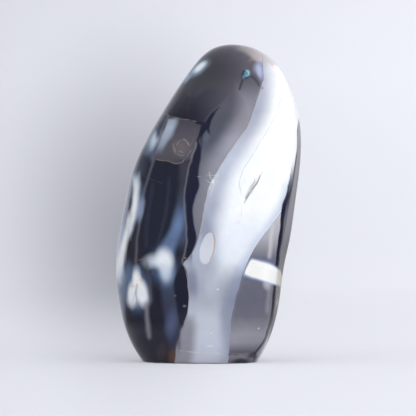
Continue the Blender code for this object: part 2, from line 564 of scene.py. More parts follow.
RIDGE: Curve = (
    (34.4, 93.1), (31.8, 76.7), (29.5, 64.4), (27.5, 57.7), (26.7, 51.8), (25.9, 45.1), (25, 38),
    (23.8, 23.8), (23.3, 18.9), (22.1, 13.6), (20.3, 8.4), (16.8, 3.6),
)
RIDGE_LEFT: Curve = (*beside(RIDGE[:4], -0.4), *beside(RIDGE[4:], 0.1))
RIDGE_RIGHT: Curve = (*beside(RIDGE[:7], 1.2), *beside(RIDGE[7:], 1.1))
# Two left facet edges, which thin painted highlights follow
LINE_0: Curve = ((-20.5, 76.2), (-22.2, 71), (-24.4, 62.2), (-25.8, 53.2), (-26.9, 44.2), (-27.2, 38))
LINE_1: Curve = (
    (-4.4, 82.3), (-6.9, 74.5), (-8.6, 65.9), (-9, 61.8), (-8.2, 49.9), (-8.2, 45.5), (-9.7, 38.1),
)
DOME_LINE: Curve = (
    (-24, 95.5), (-16.8, 94), (-14, 92.4), (-11.4, 91.7), (-4.6, 90.4), (-1, 89.6), (4, 88),
)
WINDOW_FOOT: Curve = (
    (-26, 79), (-20.5, 77), (-19.4, 76.3), (-15.3, 75.7), (-11.9, 74.7), (-9.3, 75.4), (-4, 77),
)

UPPER_STREAK: Curve = ((-27.4, 71), (-27.3, 66), (-27.7, 61), (-28.5, 55.2), (-29.8, 51), (-31, 47))
LOWER_STREAK: Curve = ((-29.7, 56), (-31.4, 47.7), (-32.6, 42.5), (-33.4, 38), (-34, 33))

FAR_RIGHT: Curve = ((60, 0), (60, 120))

# The smoky body from the window up to the crown, and the milky smoke between the dark veins and the crack
SMOKE = (
    Cloud("#4B4E60", (-24.6, 75), (3.6, 8), lean=14, even=0.3, strength=0.8),
    Band(
        ((74, "#4A4852"), (79, "#54525C"), (84, "#56535D"), (91, "#42414D")),
        ((-19.6, 74), (-19.1, 80.2), (-18.4, 83.2), (-18.3, 86.6), (-17.2, 89.6), (-13, 97)),
        ((-3, 74), (-3, 97)),
        ends=(74, 96), soft=(1.6, 1),
    ),
    Band(
        (
            (-30, "#30303B"), (-12, "#22222C"), (-5, "#2C2C38"), (4, "#42414E"), (14, "#514F5C"),
            (24, "#534F5B"),
        ),
        DOME_LINE,
        ((-60, 140), (60, 140)),
        ends=(-60, 31), soft=(0.8, 1), end_soft=(1, 9), side=Side.ROUND, runs=Axis.ACROSS,
        depth=Depth(low=(88, 24), high=(112, 27), soft=9),
    ),
    Cloud("#22222C", (2, 111), (17, 15), even=0, strength=0.8),
    Band(
        (
            (38, "#62606C"), (46, "#6E6C77"), (53, "#74717D"), (61, "#6E6F7C"), (70, "#616271"),
            (76, "#626473"), (83.4, "#505364"), (90, "#51545F"), (96, "#525360"), (104, "#4B4954"),
        ),
        ((9, 106), (8, 101), (3, 95.8), (-0.8, 91), (-2, 86.5), *VEIN_RIGHT[1:]),
        CRACK,
        ends=(37, 100), soft=(1.6, 0.4), end_soft=(1, 14),
    ),
    Band(
        (
            (38, "#7D818E"), (50, "#787A88"), (61, "#80828F"), (72, "#8F909E"), (84, "#9E9EAE"),
            (92, "#8B8B9A"),
        ),
        ((13, 104), (12.2, 96), (9.6, 90), (5.2, 83), (-0.2, 74), (-3.4, 66), (-5, 57), (-7, 44)),
        CRACK,
        ends=(39, 100), soft=(9, 0.4), end_soft=(6, 14), strength=0.95,
    ),
    Cloud("#8D858D", (12, 90), (4, 10), lean=30, even=0.1, strength=0.35),
)

# The white sheet from the crown down to the foot, lavender where it thins
WHITE_SHEET = (
    Band(
        (
            (0, "#B7B9C8"), (5, "#C2C6D8"), (12, "#C4C9DC"), (20, "#B2B5C6"), (28, "#A8ACBE"),
            (34, "#A9AEC0"), (42, "#AAB3C9"), (50, "#9DA2B8"), (58, "#A6ABC0"), (66, "#B3B9CC"),
            (76, "#BAC1D5"), (84, "#B2B7C9"), (94, "#A0A5BA"), (103, "#ACB1C5"), (110, "#B9BDCE"),
            (116, "#A9A5AE"),
        ),
        BAND_LEFT,
        BAND_RIGHT,
        ends=(-2, 118), soft=(0.6, 0.35), end_soft=(1, 6), side=Side.ROUND, depth=Depth(),
    ),
    Band(
        (
            (34, "#DCE1ED"), (40, "#E4EAF7"), (48, "#E9EEFA"), (60, "#EFF3FC"), (90, "#F5F7FC"),
            (112, "#F6F7FC"),
        ),
        beside(CORE_LEFT, 1.3),
        BAND_RIGHT,
        ends=(34, 112), soft=(8, 0.35), end_soft=(11, 5), side=Side.ROUND, depth=Depth(),
    ),
    Band(
        "#F7F9FE",
        ((7, 42), (9, 55), (15, 70), (22, 85), (27, 100)),
        beside(BAND_RIGHT, -2),
        ends=(54, 104), soft=(5, 4), end_soft=(10, 8), strength=0.7, side=Side.ROUND, depth=Depth(),
    ),
    Band(
        ((36, "#B9C4DC"), (48, "#C9D2E8"), (62, "#BFC8DF")),
        beside(BAND_RIGHT[4:], -2.4),
        BAND_RIGHT,
        ends=(34, 66), soft=(4.6, 0.35), end_soft=(6, 8), strength=0.9,
    ),
    Cloud("#8C91A8", (-1.4, 51), (2, 7), lean=6, strength=0.4),
    Band(
        ((6, "#9AA0B6"), (16, "#8F95AB"), (24, "#858BA3"), (31, "#8F97B0"), (36, "#A9B3CB")),
        ((5.6, 0), (4.6, 12), (4.4, 20), (6.6, 28), (10.6, 36)),
        BAND_RIGHT,
        ends=(1, 35), soft=(6, 0.35), end_soft=(6, 6), strength=0.9,
    ),
    Cloud("#80839C", (-6.2, 30.5), (3.6, 8.6), lean=-4, strength=0.85),
    Cloud("#BCC2D2", (1.2, 30), (4.2, 8), lean=3, strength=0.6),
    Band(
        "#C7CCDC",
        ((-7.4, 20), (-7, 14), (-5.7, 10.1), (-3.7, 7.7), (-0.5, 6.6), (4, 6.2)),
        ((3.4, 22), (3.8, 12), (4.2, 6)),
        ends=(6.6, 19), soft=(0.9, 4), end_soft=(1, 10), strength=0.75,
    ),
    Line(
        "#5D575F",
        ((-8.3, 17.4), (-10.2, 12.7), (-12.2, 6), (-12.8, 0)),
        width=0.5, soft=2.8, broken=0, strength=0.7,
    ),
    Band(
        ((0, "#8A8692"), (8, "#858290"), (14, "#84838F"), (20, "#9A9BAA")),
        ((-12.6, 0), (-11.6, 7), (-10.3, 12.7), (-8.6, 20)),
        ((-6.4, 0), (-5.2, 8), (-4.8, 14), (-5.6, 20)),
        ends=(-1, 18), soft=(1.5, 4.2), end_soft=(1, 5), strength=0.85,
    ),
)

# The clear grey window right of the white sheet, with a painted reflection across it low down
RIGHT_WINDOW = (
    # Painted reflection: the paler stops from 8 to 14 mm up lie across the window near the foot
    Band(
        (
            (0, "#6F6C77"), (3.2, "#85828E"), (4.4, "#625F6B"), (8, "#93919F"), (11, "#9694A2"),
            (14, "#85838F"), (18, "#6C6B7A"), (24, "#676878"), (29, "#6A6A7B"), (33, "#6C6D82"),
            (39.5, "#6C6E83"), (42.5, "#898895"), (47, "#A9A8B5"), (55, "#BFBECA"),
        ),
        BAND_RIGHT[5:],
        RIDGE,
        ends=(-1, 58.6), soft=(0.45, 0.6),
    ),
    Line("#8589A0", BAND_RIGHT[9:14], soft=2.8, fade=3, broken=0.1, strength=0.6),
    Line(
        "#D5D0D6",
        ((23.8, 52), (23.1, 45), (22.6, 39.8)),
        width=1.2, soft=1.6, fade=3, broken=0.1, strength=0.6,
    ),
    Line(
        "#A3A1AE",
        ((23, 31.5), (22.5, 27), (22, 20)),
        width=1.1, soft=2.2, fade=6, broken=0, strength=0.6,
    ),
    Cloud("#C0BFCA", (21.9, 29.9), (2.4, 3.4), even=0.1, strength=0.8),
    Line(
        "#8E8C9B",
        ((23.7, 31), (23.4, 23.8), (22.5, 17), (20.4, 11)),
        soft=0.8, broken=0.1, strength=0.5,
    ),
    Line("#3F3E4A", ((7.4, 3.6), (12, 3.4), (17, 3.6)), width=0.5, strength=0.6, runs=Axis.ACROSS),
    Cloud("#26242D", (12, 0.8), (5, 1.8), even=0.3, strength=0.85),
    Cloud("#35333D", (16.6, 3.2), (3.2, 1.7), lean=-20, strength=0.85),
)

# The white slab that crosses the window and the wall
SLAB = (
    Band(
        "#B4C5EA",
        ((12.4, 33), (16.2, 32), (19.5, 31), (23.2, 29.8), (28.4, 28.1)),
        ((12.6, 33.4), (14.2, 37), (15.6, 39.2), (17.6, 39), (21, 38.3), (24.4, 36.8), (28.6, 33.8)),
        ends=(12.9, 60), soft=(1.3, 1.3), end_soft=(0.6, 1), strength=0.7, side=Side.ROUND,
        runs=Axis.ACROSS, depth=Depth(low=(29, 17), high=(34.4, 35), soft=4),
    ),
    Band(
        ((14, "#F7F6F8"), (24, "#FEFDFC"), (27, "#FBF5EE")),
        ((13, 33.6), (16.2, 32.6), (19.5, 31.5), (23.2, 30.3), (28.4, 28.6)),
        ((13.2, 34), (14.4, 36.6), (15.8, 38.7), (17.6, 38.6), (21, 37.7), (24.4, 36.2), (28.6, 33.2)),
        ends=(13.4, 60), soft=(0.9, 0.9), end_soft=(0.5, 1), side=Side.ROUND, runs=Axis.ACROSS,
        depth=Depth(low=(29, 16), high=(34.4, 34), soft=4),
    ),
    Line(
        "#F6EADB",
        ((15, 36.6), (20, 35.6), (26, 33.4)),
        width=0.5, soft=0.8, strength=0.4, runs=Axis.ACROSS,
    ),
    Line("#F6E9D8", ((16, 37.8), (22, 36.8)), width=0.4, soft=0.6, strength=0.4, runs=Axis.ACROSS),
    Line("#9A6E5C", ((15.3, 39.8), (14.3, 37.3), (13.2, 33.6)), soft=0.35, strength=0.8),
)

# The dark left part: black glass below the window, with blue and grey strips in it
LEFT_GLASS = (
    Band(
        ((-30, "#262A38"), (-18, "#262937"), (-8, "#262935")),
        ((-26, 40), (-8, 40)),
        WINDOW_FOOT,
        ends=(-24, -6.2), soft=(10, 0.5), end_soft=(6, 1), runs=Axis.ACROSS,
    ),
    Line(
        "#3D3F50",
        ((-14.6, 68), (-15.6, 58), (-18.6, 46)),
        width=0.5, soft=2.2, fade=7, broken=0, strength=0.7,
    ),
    Line(
        "#3B3D4F",
        ((-20.8, 66), (-22.8, 54), (-23.4, 45)),
        width=0.5, soft=2.6, fade=7, broken=0, strength=0.7,
    ),
    Band(
        ((46, "#464C63"), (55, "#4A5572"), (61, "#434759"), (66, "#3C3D4B"), (75, "#413F4C")),
        ((-10.8, 76), (-11.4, 62), (-12.6, 56), (-14, 48)),
        LINE_1,
        ends=(44, 76), soft=(2.6, 0.8), end_soft=(6, 1.5), strength=0.9,
    ),
    Band(
        ((42, "#6B7FA6"), (46, "#5C6E94"), (52, "#687EA6"), (60, "#4A5676")),
        ((-9.8, 62), (-11.8, 56), (-14.6, 49), (-18.4, 43), (-19.5, 40)),
        ((-9, 62), (-9, 55), (-10.2, 49.5), (-11.8, 45.5), (-12.8, 42), (-13.2, 40)),
        ends=(40, 58), soft=(3.6, 2.8), end_soft=(4, 8), strength=0.95,
    ),
    Band(
        ((8, "#363950"), (24, "#3F4459"), (32, "#465068")),
        ((-17.6, 34), (-17.4, 26), (-16, 14), (-14.5, 6)),
        ((-12.8, 34), (-12.6, 26), (-11, 17), (-10.6, 8)),
        ends=(6, 33), soft=(2.6, 1.8), end_soft=(8, 8), strength=0.85,
    ),
    Cloud("#535D80", (-13.6, 15.4), (3.6, 8.6), lean=10, even=0, strength=0.8),
)

# The white cloud in the black glass, its blue halo and the brown crack in its wing
INNER_CLOUD = (
    Cloud("#50668F", (-16.8, 36.4), (7.2, 10.2), lean=-4, even=0.1, strength=0.8),
    Cloud("#9DAFCC", (-15.6, 35.2), (4.4, 7.8), lean=-2, even=0.1, strength=0.85),
    Cloud("#C9D2E2", (-19.2, 38.5), (4.1, 7.2), lean=80, even=0.05, strength=0.95),
    Cloud("#E4E9F2", (-16.3, 38.9), (4.5, 6.2), lean=-8, strength=0.95),
    Cloud("#C9D3E4", (-15.9, 34.6), (2.8, 5.2), lean=-4, even=0.1, strength=0.8),
    Cloud("#343B50", (-21.8, 33), (1.7, 3.2), lean=16, even=0.1, strength=0.4),
    Line(
        "#87706E",
        ((-27.4, 38.2), (-23.9, 39), (-19.4, 38.6), (-16.6, 36.6)),
        width=0.2, strength=0.75, runs=Axis.ACROSS,
    ),
)

# The pale drop below it on the left, with dark lines in its middle
DROP = (
    Cloud("#5F6E8B", (-30.4, 33), (3.2, 7.4), lean=4, even=0.1, strength=0.85),
    Cloud("#6078A4", (-26.7, 27.6), (6.2, 11.4), lean=2, strength=0.75),
    Cloud("#BAC3D4", (-26.9, 32.2), (2.4, 5.8), strength=0.95),
    Cloud("#7F879D", (-22.7, 25.6), (2.2, 6), lean=-6, even=0.1, strength=0.75),
    Cloud("#E2E4EC", (-28.2, 26), (3.3, 6.8), lean=6, even=0.35),
    Cloud("#E1E5EE", (-25, 26.4), (3.3, 6.8), lean=-8, even=0.35),
    Cloud("#EBE9EC", (-26.9, 30.6), (2.3, 5.2), even=0.3),
    Line(
        "#828BA2",
        ((-26.7, 29.4), (-27, 26), (-26.5, 20.6)),
        width=0.5, soft=1.2, fade=2, broken=0.1, strength=0.75,
    ),
    Line("#8F98AE", ((-27, 27), (-28.6, 22.4)), soft=0.9, fade=1, broken=0.1, strength=0.6),
    Cloud("#C9A58C", (-28.2, 28.8), (1.3, 1), strength=0.4),
    Cloud("#C9A996", (-25.4, 31.2), (0.9, 1.4), strength=0.3),
)

# The pale left rim and its two white streaks
LEFT_RIM = (
    Band(
        (
            (18, "#5C667C"), (29, "#717E97"), (34, "#96A3BB"), (40, "#B4BFD1"), (47, "#A9B4C8"),
            (55, "#7F8BA2"), (64, "#7C8598"), (72, "#5A6072"),
        ),
        ((-38, 72), (-38, 18)),
        (
            (-27.4, 72), (-29, 66), (-30.6, 60), (-31.2, 54), (-31.6, 46), (-32, 40), (-31.6, 34),
            (-30.8, 26), (-31.6, 18),
        ),
        ends=(17, 72), soft=(1.6, 1.8), end_soft=(8, 8), strength=0.85,
        depth=Depth(low=(18, 19), high=(60, 27), soft=7),
    ),
    Cloud("#5D7197", (-26, 59.4), (2.8, 10.4), lean=8, even=0.1, strength=0.75),
    Cloud("#93A5C6", (-25.3, 57.6), (1.9, 6.4), lean=8, even=0.15, strength=0.8),
    Band(
        ((47, "#B2BFD6"), (54, "#E5E8F0"), (62, "#E0E5ED"), (67, "#CFD6E2"), (71, "#A3B0C5")),
        beside(UPPER_STREAK, -1.1),
        beside(UPPER_STREAK, 1.3),
        ends=(48, 70.6), soft=(1.7, 2.2), end_soft=(6, 5),
    ),
    Band(
        ((31, "#B5BECD"), (37, "#DFE1E7"), (46, "#E6E7EC"), (55, "#C8CED9")),
        beside(LOWER_STREAK, -0.9),
        beside(LOWER_STREAK, 1.4),
        ends=(30.5, 56), soft=(1.4, 1.7), end_soft=(5, 5),
    ),
    Line(
        "#9FA9BC",
        ((-30.2, 50), (-30.9, 44), (-31.2, 38)),
        soft=0.9, fade=4, broken=0.1, strength=0.5,
    ),
)

# The hazes left of the window and the pale spot at the dome's left edge
HAZES = (
    Cloud("#7C8CA3", (-20.6, 83.2), (3.8, 8), lean=26, even=0.1, strength=0.9),
    Cloud("#B6C2D0", (-20.1, 83.9), (2, 5.8), lean=24, even=0.1, strength=0.9),
    Cloud("#5F6376", (-20.4, 77.8), (2.2, 4), lean=28, even=0.1, strength=0.7),
    Band(
        ((79, "#7E889D"), (84, "#98A3B8"), (88, "#A6B1C5"), (91, "#929EB2")),
        ((-14.9, 91), (-16.6, 87), (-18.2, 83), (-19.6, 79)),
        ((-11.6, 91), (-12.8, 87), (-15.2, 83), (-18, 79)),
        ends=(79.8, 91.3), soft=(1.3, 2.6), end_soft=(5, 1.6), strength=0.88,
    ),
    Band(
        "#2E3247",
        ((-17.6, 94.5), (-19.4, 89), (-19.6, 85)),
        ((-14.8, 94.5), (-16.9, 89.5), (-18.2, 84.6)),
        ends=(84.5, 92.8), soft=(1.2, 1.2), end_soft=(3, 1.6), strength=0.85,
    ),
    Cloud("#8297B4", (-3.6, 110.4), (2.8, 6.6), lean=52, even=0.1, strength=0.85),
    Cloud("#CBD3DC", (-3.2, 110.9), (1.6, 4.2), lean=52, strength=0.95),
    Cloud("#8297B4", (-7.8, 106.8), (1.4, 3.6), lean=38, even=0.1, strength=0.6),
)

# A painted glint running upright, a soft dark upright streak, and brown stains low down on the left
LOW_GLINT_STREAK_AND_STAINS = (
    # A painted glint on the polish
    Line(
        "#8A8996",
        ((-23.2, 21.8), (-22.8, 15.9), (-22.2, 10.4)),
        width=1, soft=2.4, fade=5, broken=0, strength=0.85,
    ),
    Line(
        "#4E4C58",
        ((-23, 37.4), (-21.8, 31), (-21.4, 24)),
        width=0.8, soft=2.2, fade=4, broken=0, strength=0.7,
    ),
    Cloud("#4A3F42", (-17.5, 4), (4, 5.6), lean=14, even=0.1, strength=0.6),
    Cloud("#674B3D", (-13.6, 2.6), (2.2, 4.6), lean=8, even=0.1, strength=0.7),
)

# The dark veins, the lens and the crossing of veins under the dome
VEINS = (
    Band(
        ((38, "#232535"), (60, "#23263A"), (70, "#26293A"), (82, "#262839")),
        VEIN_LEFT,
        VEIN_RIGHT,
        ends=(37.4, 83.5), soft=(0.7, 0.8), end_soft=(0.6, 1),
    ),
    Band(
        "#232535",
        ((4.6, 96.6), (2.3, 94.6), (0.4, 92.4), (-1.6, 89.6), (-3, 87.4), (-4.2, 84), (-4.6, 82.4)),
        ((4.6, 96), (3, 94.2), (1.4, 91.4), (0.2, 88.6), (-1.3, 86.2), (-3.1, 84), (-3.9, 82.4)),
        ends=(82.4, 96), soft=(0.8, 0.9), end_soft=(0.6, 1.2),
    ),
    Band(
        "#232535",
        ((-1.6, 89.6), (-0.8, 87.6), (0.2, 85)),
        ((0.6, 89.6), (0.4, 87.6), (0.7, 85)),
        ends=(85, 89.8), soft=(0.9, 1),
    ),
    Line(
        "#252738",
        ((-4.5, 90.2), (-3, 89.8), (-1, 89.2), (0, 88.8)),
        width=1.2, soft=1, fade=1.2, broken=0, runs=Axis.ACROSS,
    ),
    Cloud("#5A5E70", (-0.6, 84.2), (1.6, 2.6), lean=20, even=0.3, strength=0.8),
    Band(
        ((13, "#292A39"), (24, "#232434"), (37, "#252737")),
        (
            (-9.8, 37.2), (-11.2, 34.9), (-12.5, 31.5), (-12.7, 28), (-11.8, 23), (-10.8, 16.5),
            (-10.1, 12.7),
        ),
        ((-9.5, 37.2), (-8.3, 35.3), (-7.7, 32.3), (-7.5, 28.5), (-7.7, 21), (-8.6, 16.5), (-10, 12.7)),
        ends=(13.4, 36.9), soft=(1.4, 0.6), end_soft=(2, 1),
    ),
    Line(
        "#1F2030",
        ((-12.2, 97.6), (-12.7, 94.7), (-13.1, 92.3)),
        width=0.7, soft=0.9, broken=0, strength=0.85,
    ),
    Line(
        "#22232F",
        ((13.1, 106.7), (12.3, 104.8), (11.7, 102.6)),
        width=0.8, soft=0.8, fade=1.6, broken=0, strength=0.85,
    ),
    Line(
        "#292A3F",
        ((14.9, 108.2), (16.4, 107.2), (17.8, 105.7), (19.2, 103.6)),
        width=1.1, soft=1.8, fade=1, broken=0, strength=0.85, runs=Axis.ACROSS,
    ),
)

# The crown's tan patch, painted as light passing through the thin crown, its lavender patches, and the bright
# blue-green vug
CROWN = (
    # Painted light: the thin crown glows paler towards its right edge, as light passes through it
    Band(
        ((10, "#6D6A73"), (14, "#847F87"), (17, "#9B969D"), (20, "#B3AFB7"), (25, "#C8C4C9")),
        ((10, 118.6), (12.2, 117.6), (16.3, 114.9), (18.3, 113), (24, 111.9)),
        ((10, 140), (30, 140)),
        ends=(11, 26), soft=(2.8, 1), end_soft=(5, 2), strength=0.95, runs=Axis.ACROSS,
    ),
    # Painted light: the tan of that glow through the thin crown
    Cloud("#A08D82", (17.8, 114.8), (1.5, 4.4), lean=58, even=0.1, strength=0.35),
    Line("#A3A6B9", beside(CRACK[:4], 0.3), width=0.5, soft=3.2, fade=2, broken=0, strength=0.75),
    Cloud("#8C93B0", (18.7, 110.4), (2.7, 3.6), lean=-10, even=0.15, strength=0.85),
    Cloud("#A7B0D2", (19.3, 109.2), (1.7, 4.6), lean=-8, even=0.15, strength=0.8),
    Cloud("#1F2330", (13.8, 107.8), (2.4, 2.4), lean=40, even=0.4, strength=0.7),
    Cloud("#8FBACC", (14.3, 108.5), (1.5, 1.8), lean=40, even=0.3),
    Cloud("#5E8FB4", (15.2, 107.9), (0.5, 0.9), lean=70, even=0.3, strength=0.8),
    Cloud("#4F7FA6", (13.3, 107.3), (0.7, 1.5), lean=20, strength=0.9),
)

# The dark line outside the ridge, the wall's grey, partly its own colour and partly a painted reflection of
# the bright studio, and a mark of the wall's own
WALL = (
    # Partly painted reflection: the steep right wall's grey, darker higher up, stands in part for the bright
    # studio that it reflects at a grazing angle
    Band(
        (
            (0, "#94929F"), (12, "#878594"), (22, "#A19FAC"), (28, "#9A99A7"), (42, "#7F7E90"),
            (60, "#6B6A7B"),
        ),
        RIDGE_RIGHT,
        FAR_RIGHT,
        ends=(-1, 62), soft=(1, 1), end_soft=(1, 14), strength=0.85, side=Side.ROUND,
        depth=Depth(low=(0, 20), high=(70, 20), soft=14),
    ),
    Band(
        ((4, "#1F1F29"), (30, "#22222D"), (58, "#23253A"), (63, "#33374A"), (68, "#6C7080")),
        RIDGE_LEFT,
        RIDGE_RIGHT,
        ends=(1, 72), soft=(0.4, 0.9), end_soft=(3, 10), side=Side.ROUND,
        depth=Depth(low=(0, 14), high=(70, 14), soft=5),
    ),
    Line("#B9AE9F", ((26.6, 26.4), (26.1, 24), (25.4, 20.4)), width=0.6, soft=0.6, strength=0.7),
)

# Cracks, the fine lines along borders, and painted highlights along two left facet edges
CRACKS = (
    Line("#BDB6B2", CRACK[2:], width=0.26, soft=0.35, fade=1, broken=0.2, strength=0.8),
    Line("#7F8195", CRACK[:3], width=0.22, soft=0.35, fade=1, broken=0.2, strength=0.7),
    Line("#B0A9A6", ((14.4, 87.4), (9.9, 81), (6.2, 75)), width=0.2, soft=0.3, strength=0.5),
    # Painted highlights: thin reflections of the polish along the two left facet edges
    Line("#8B8996", LINE_1, soft=1.1, fade=3, broken=0.1, strength=0.65),
    Line("#76747F", LINE_0, width=0.5, soft=1.6, fade=3, broken=0, strength=0.65),
    Line("#8A7D74", WINDOW_FOOT[1:6], width=0.25, soft=0.4, strength=0.8, runs=Axis.ACROSS),
    Line(
        "#85838C",
        ((-14.9, 92.5), (-17.6, 88), (-18.4, 83.2), (-19.1, 80.2), (-20.4, 77)),
        width=0.2, strength=0.6,
    ),
    Line("#77757F", DOME_LINE[1:5], width=0.25, strength=0.7, runs=Axis.ACROSS),
    Line(
        "#8F8C92",
        ((-3.7, 84.5), (-5.2, 81.3), (-7.2, 78.4), (-9.3, 75.7)),
        width=0.25, soft=0.4, strength=0.8,
    ),
    Line("#7D7A82", ((-4.9, 87.6), (-5.6, 83.6), (-7.6, 79.4)), width=0.2, strength=0.5),
    Line("#484653", ((-24.5, 70.3), (-19.6, 68.2), (-17.3, 67.3)), strength=0.6, runs=Axis.ACROSS),
    Line(
        "#A9AEC2",
        ((28.2, 104.4), (28, 101.9), (24, 90.7), (17.1, 79.2), (12.2, 70.7), (11.5, 67), (12.1, 63.3)),
        width=0.2, broken=0.2, strength=0.75,
    ),
    Line(
        "#BFB3A6",
        ((-9.6, 37.3), (-8.7, 35.3), (-7.8, 32.3), (-7.4, 28.5), (-7.4, 22)),
        width=0.2, soft=0.35, strength=0.65,
    ),
    Line("#9A8678", ((-5.6, 42.4), (-7.4, 39.5), (-9.4, 37.4)), strength=0.6),
)

# Scratches and crushed spots of the polished face
SCRATCHES = (
    Line("#D9DAE2", ((-10.6, 4.9), (-1.3, 4.2), (6.2, 3.5)), soft=0.6, strength=0.5, runs=Axis.ACROSS),
    Line(
        "#DDDFE8",
        ((-4, 69.8), (-1, 70), (2.4, 70.2)),
        width=0.15, soft=0.3, strength=0.45, runs=Axis.ACROSS,
    ),
    Line(
        "#E6E6EA",
        ((-1.4, 68.8), (0.6, 67.4), (1.6, 68.2), (3.4, 70.4)),
        width=0.2, soft=0.4, strength=0.8, runs=Axis.ACROSS,
    ),
    Line(
        "#E1E2E8",
        ((0.2, 71), (0.8, 69), (1.9, 67.2), (1.5, 65), (0.6, 62.6)),
        width=0.2, soft=0.4, strength=0.7,
    ),
    Line("#D9DAE2", ((3.6, 70.6), (3, 68.2), (2.4, 66.4)), width=0.15, soft=0.3, strength=0.6),
    Cloud("#E6E6EA", (1.6, 67.9), (0.9, 1.3), lean=20, even=0, strength=0.8),
    Cloud("#C9CBD6", (0.7, 65.8), (0.9, 2.2), lean=20, even=0, strength=0.5),
    Line(
        "#C6BDB6",
        ((9.1, 52), (10.4, 52.3), (11.6, 53)),
        width=0.2, soft=0.35, strength=0.6, runs=Axis.ACROSS,
    ),
    Line("#C2BDBD", ((12.7, 59.2), (12.3, 57), (12.2, 55.1)), width=0.2, soft=0.3, strength=0.45),
)

# Specks, pits and the dark spot under the white cloud
SPECKS = (
    Cloud("#7A6864", (20.2, 103), (0.5, 0.6), strength=0.9),
    Cloud("#D79C5C", (24.1, 111.9), (0.5, 0.6), strength=0.8),
    Line("#3B3D4C", ((-21.5, 34.9), (-21.9, 33.1), (-21.2, 31.7)), width=0.8, soft=1, strength=0.7),
    Cloud("#4A5066", (-20.6, 34.2), (1.2, 2), strength=0.6),
    Cloud("#EDEFF5", (3.3, 28.1), (0.5, 0.45), strength=0.9),
    Cloud("#C9C9D2", (18.6, 13.2), (0.55, 0.55), strength=0.9),
    Cloud("#E2E4EC", (0.9, 11.5), (0.6, 0.45), strength=0.7),
    Cloud("#DDE0EA", (0.6, 6.7), (2, 0.6), lean=-8, strength=0.6),
    Cloud("#B9BCC8", (-8.7, 39.5), (0.35, 0.35), strength=0.7),
    Cloud("#7F8396", (-8.9, 21.7), (1, 0.7), strength=0.6),
    Cloud("#6A6E80", (-12.5, 25.5), (0.9, 0.7), strength=0.5),
)

# The brown ring in the window
RING = (
    Cloud("#6E676B", (-10.2, 80.4), (4.6, 4.8), lean=20, even=0.1, strength=0.6),
    Ring("#8F857F", (-10.1, 80.8), 3.1, width=0.2, soft=0.9, broken=1.4, strength=0.6),
    Ring("#A3A2A6", (-9.6, 81.3), 2.2, width=0.2, soft=0.9, broken=1.3, strength=0.45),
    Cloud("#94877F", (-12.6, 79.6), (0.7, 2.2), lean=-10, even=0.1, strength=0.5),
)

# The bottom of the scar and the slit, where the polish never reached
HOLLOW_FLOORS = (
    Cloud("#CFD2E0", (-0.3, 43.2), (2.9, 6.6), lean=12, even=0.85, strength=0.9),
    Line(
        "#B08E76",
        ((1.9, 49), (2.3, 46), (1.8, 41.5), (0.4, 38.4)),
        width=0.4, soft=0.4, strength=0.8,
    ),
    Line(
        "#B9A48E",
        ((-1.6, 37.2), (-0.6, 36.8), (0.4, 38)),
        width=0.4, soft=0.4, strength=0.6, runs=Axis.ACROSS,
    ),
    Line(
        "#8C93AE",
        ((-3.2, 48.4), (-1, 50), (1.6, 50.2)),
        width=0.5, soft=0.6, strength=0.6, runs=Axis.ACROSS,
    ),
    Cloud("#C9C8CE", (16.1, 65), (1, 6.4), lean=30, even=0.3, strength=0.7),
    Line("#5A5862", ((19.3, 70.2), (17.9, 67.2), (15.8, 64.4), (13.1, 59.7)), broken=0.2, strength=0.9),
    Line(
        "#77757E",
        ((20.2, 71.6), (18.9, 69.2), (17.2, 66.4), (15.9, 63.6)),
        width=0.25, broken=0.2, strength=0.8,
    ),
    Line("#8D8B92", ((17.2, 69), (16.4, 66.4), (14.8, 63.2)), width=0.2, soft=0.4, strength=0.7),
)

# The back, which the photo doesn't show: the same smoky glass, with a second white sheet lower down
BACK = tuple(
    replace(marking, side=Side.BACK)
    for marking in (
        Band(
            ((0, "#8E8C98"), (20, "#A3A6B8"), (45, "#B9BED2"), (75, "#A9AFC6"), (104, "#C3C8D8")),
            ((3, 0), (0, 22), (-6, 45), (-2, 70), (8, 92), (16, 112)),
            ((14, 0), (14, 22), (9, 45), (13, 70), (24, 92), (32, 112)),
            ends=(-1, 112), soft=(2, 0.6), end_soft=(1, 10),
        ),
        Band(
            "#F2F4FB",
            ((8, 20), (0, 45), (4, 70), (15, 92), (22, 112)),
            ((13, 20), (8.5, 45), (12.4, 70), (23, 92), (31, 112)),
            ends=(26, 114), soft=(5, 1.2), end_soft=(14, 6),
        ),
        Band(
            "#7E8093",
            ((16, 10), (12, 45), (15, 70)),
            ((19, 10), (20, 45), (24, 70)),
            ends=(6, 78), soft=(1, 5), end_soft=(8, 14), strength=0.8,
        ),
        Cloud("#5C7CB4", (-17, 62), (7, 15), lean=14, strength=0.7),
        Cloud("#CBD4E6", (-17.5, 64), (3.2, 9), lean=16, strength=0.85),
        Cloud("#3E4A6A", (-14, 24), (8, 13), lean=-8, even=0.1, strength=0.7),
        Cloud("#6B4A36", (-6, 5), (9, 5), lean=80, even=0.1, strength=0.6),
        Line(
            "#8C8A96",
            ((-9, 96), (-8, 70), (-12, 40), (-9, 16)),
            width=0.5, soft=0.8, broken=0.1, strength=0.7,
        ),
        Line(
            "#6F6E7C",
            ((-24, 84), (-23, 60), (-27, 36)),
            width=0.6, soft=1.2, fade=6, broken=0.1, strength=0.6,
        ),
        Line(
            "#A59A92",
            ((-20, 86), (-6, 82), (8, 86)),
            soft=0.4, broken=0.15, strength=0.7, runs=Axis.ACROSS,
        ),
    )
)


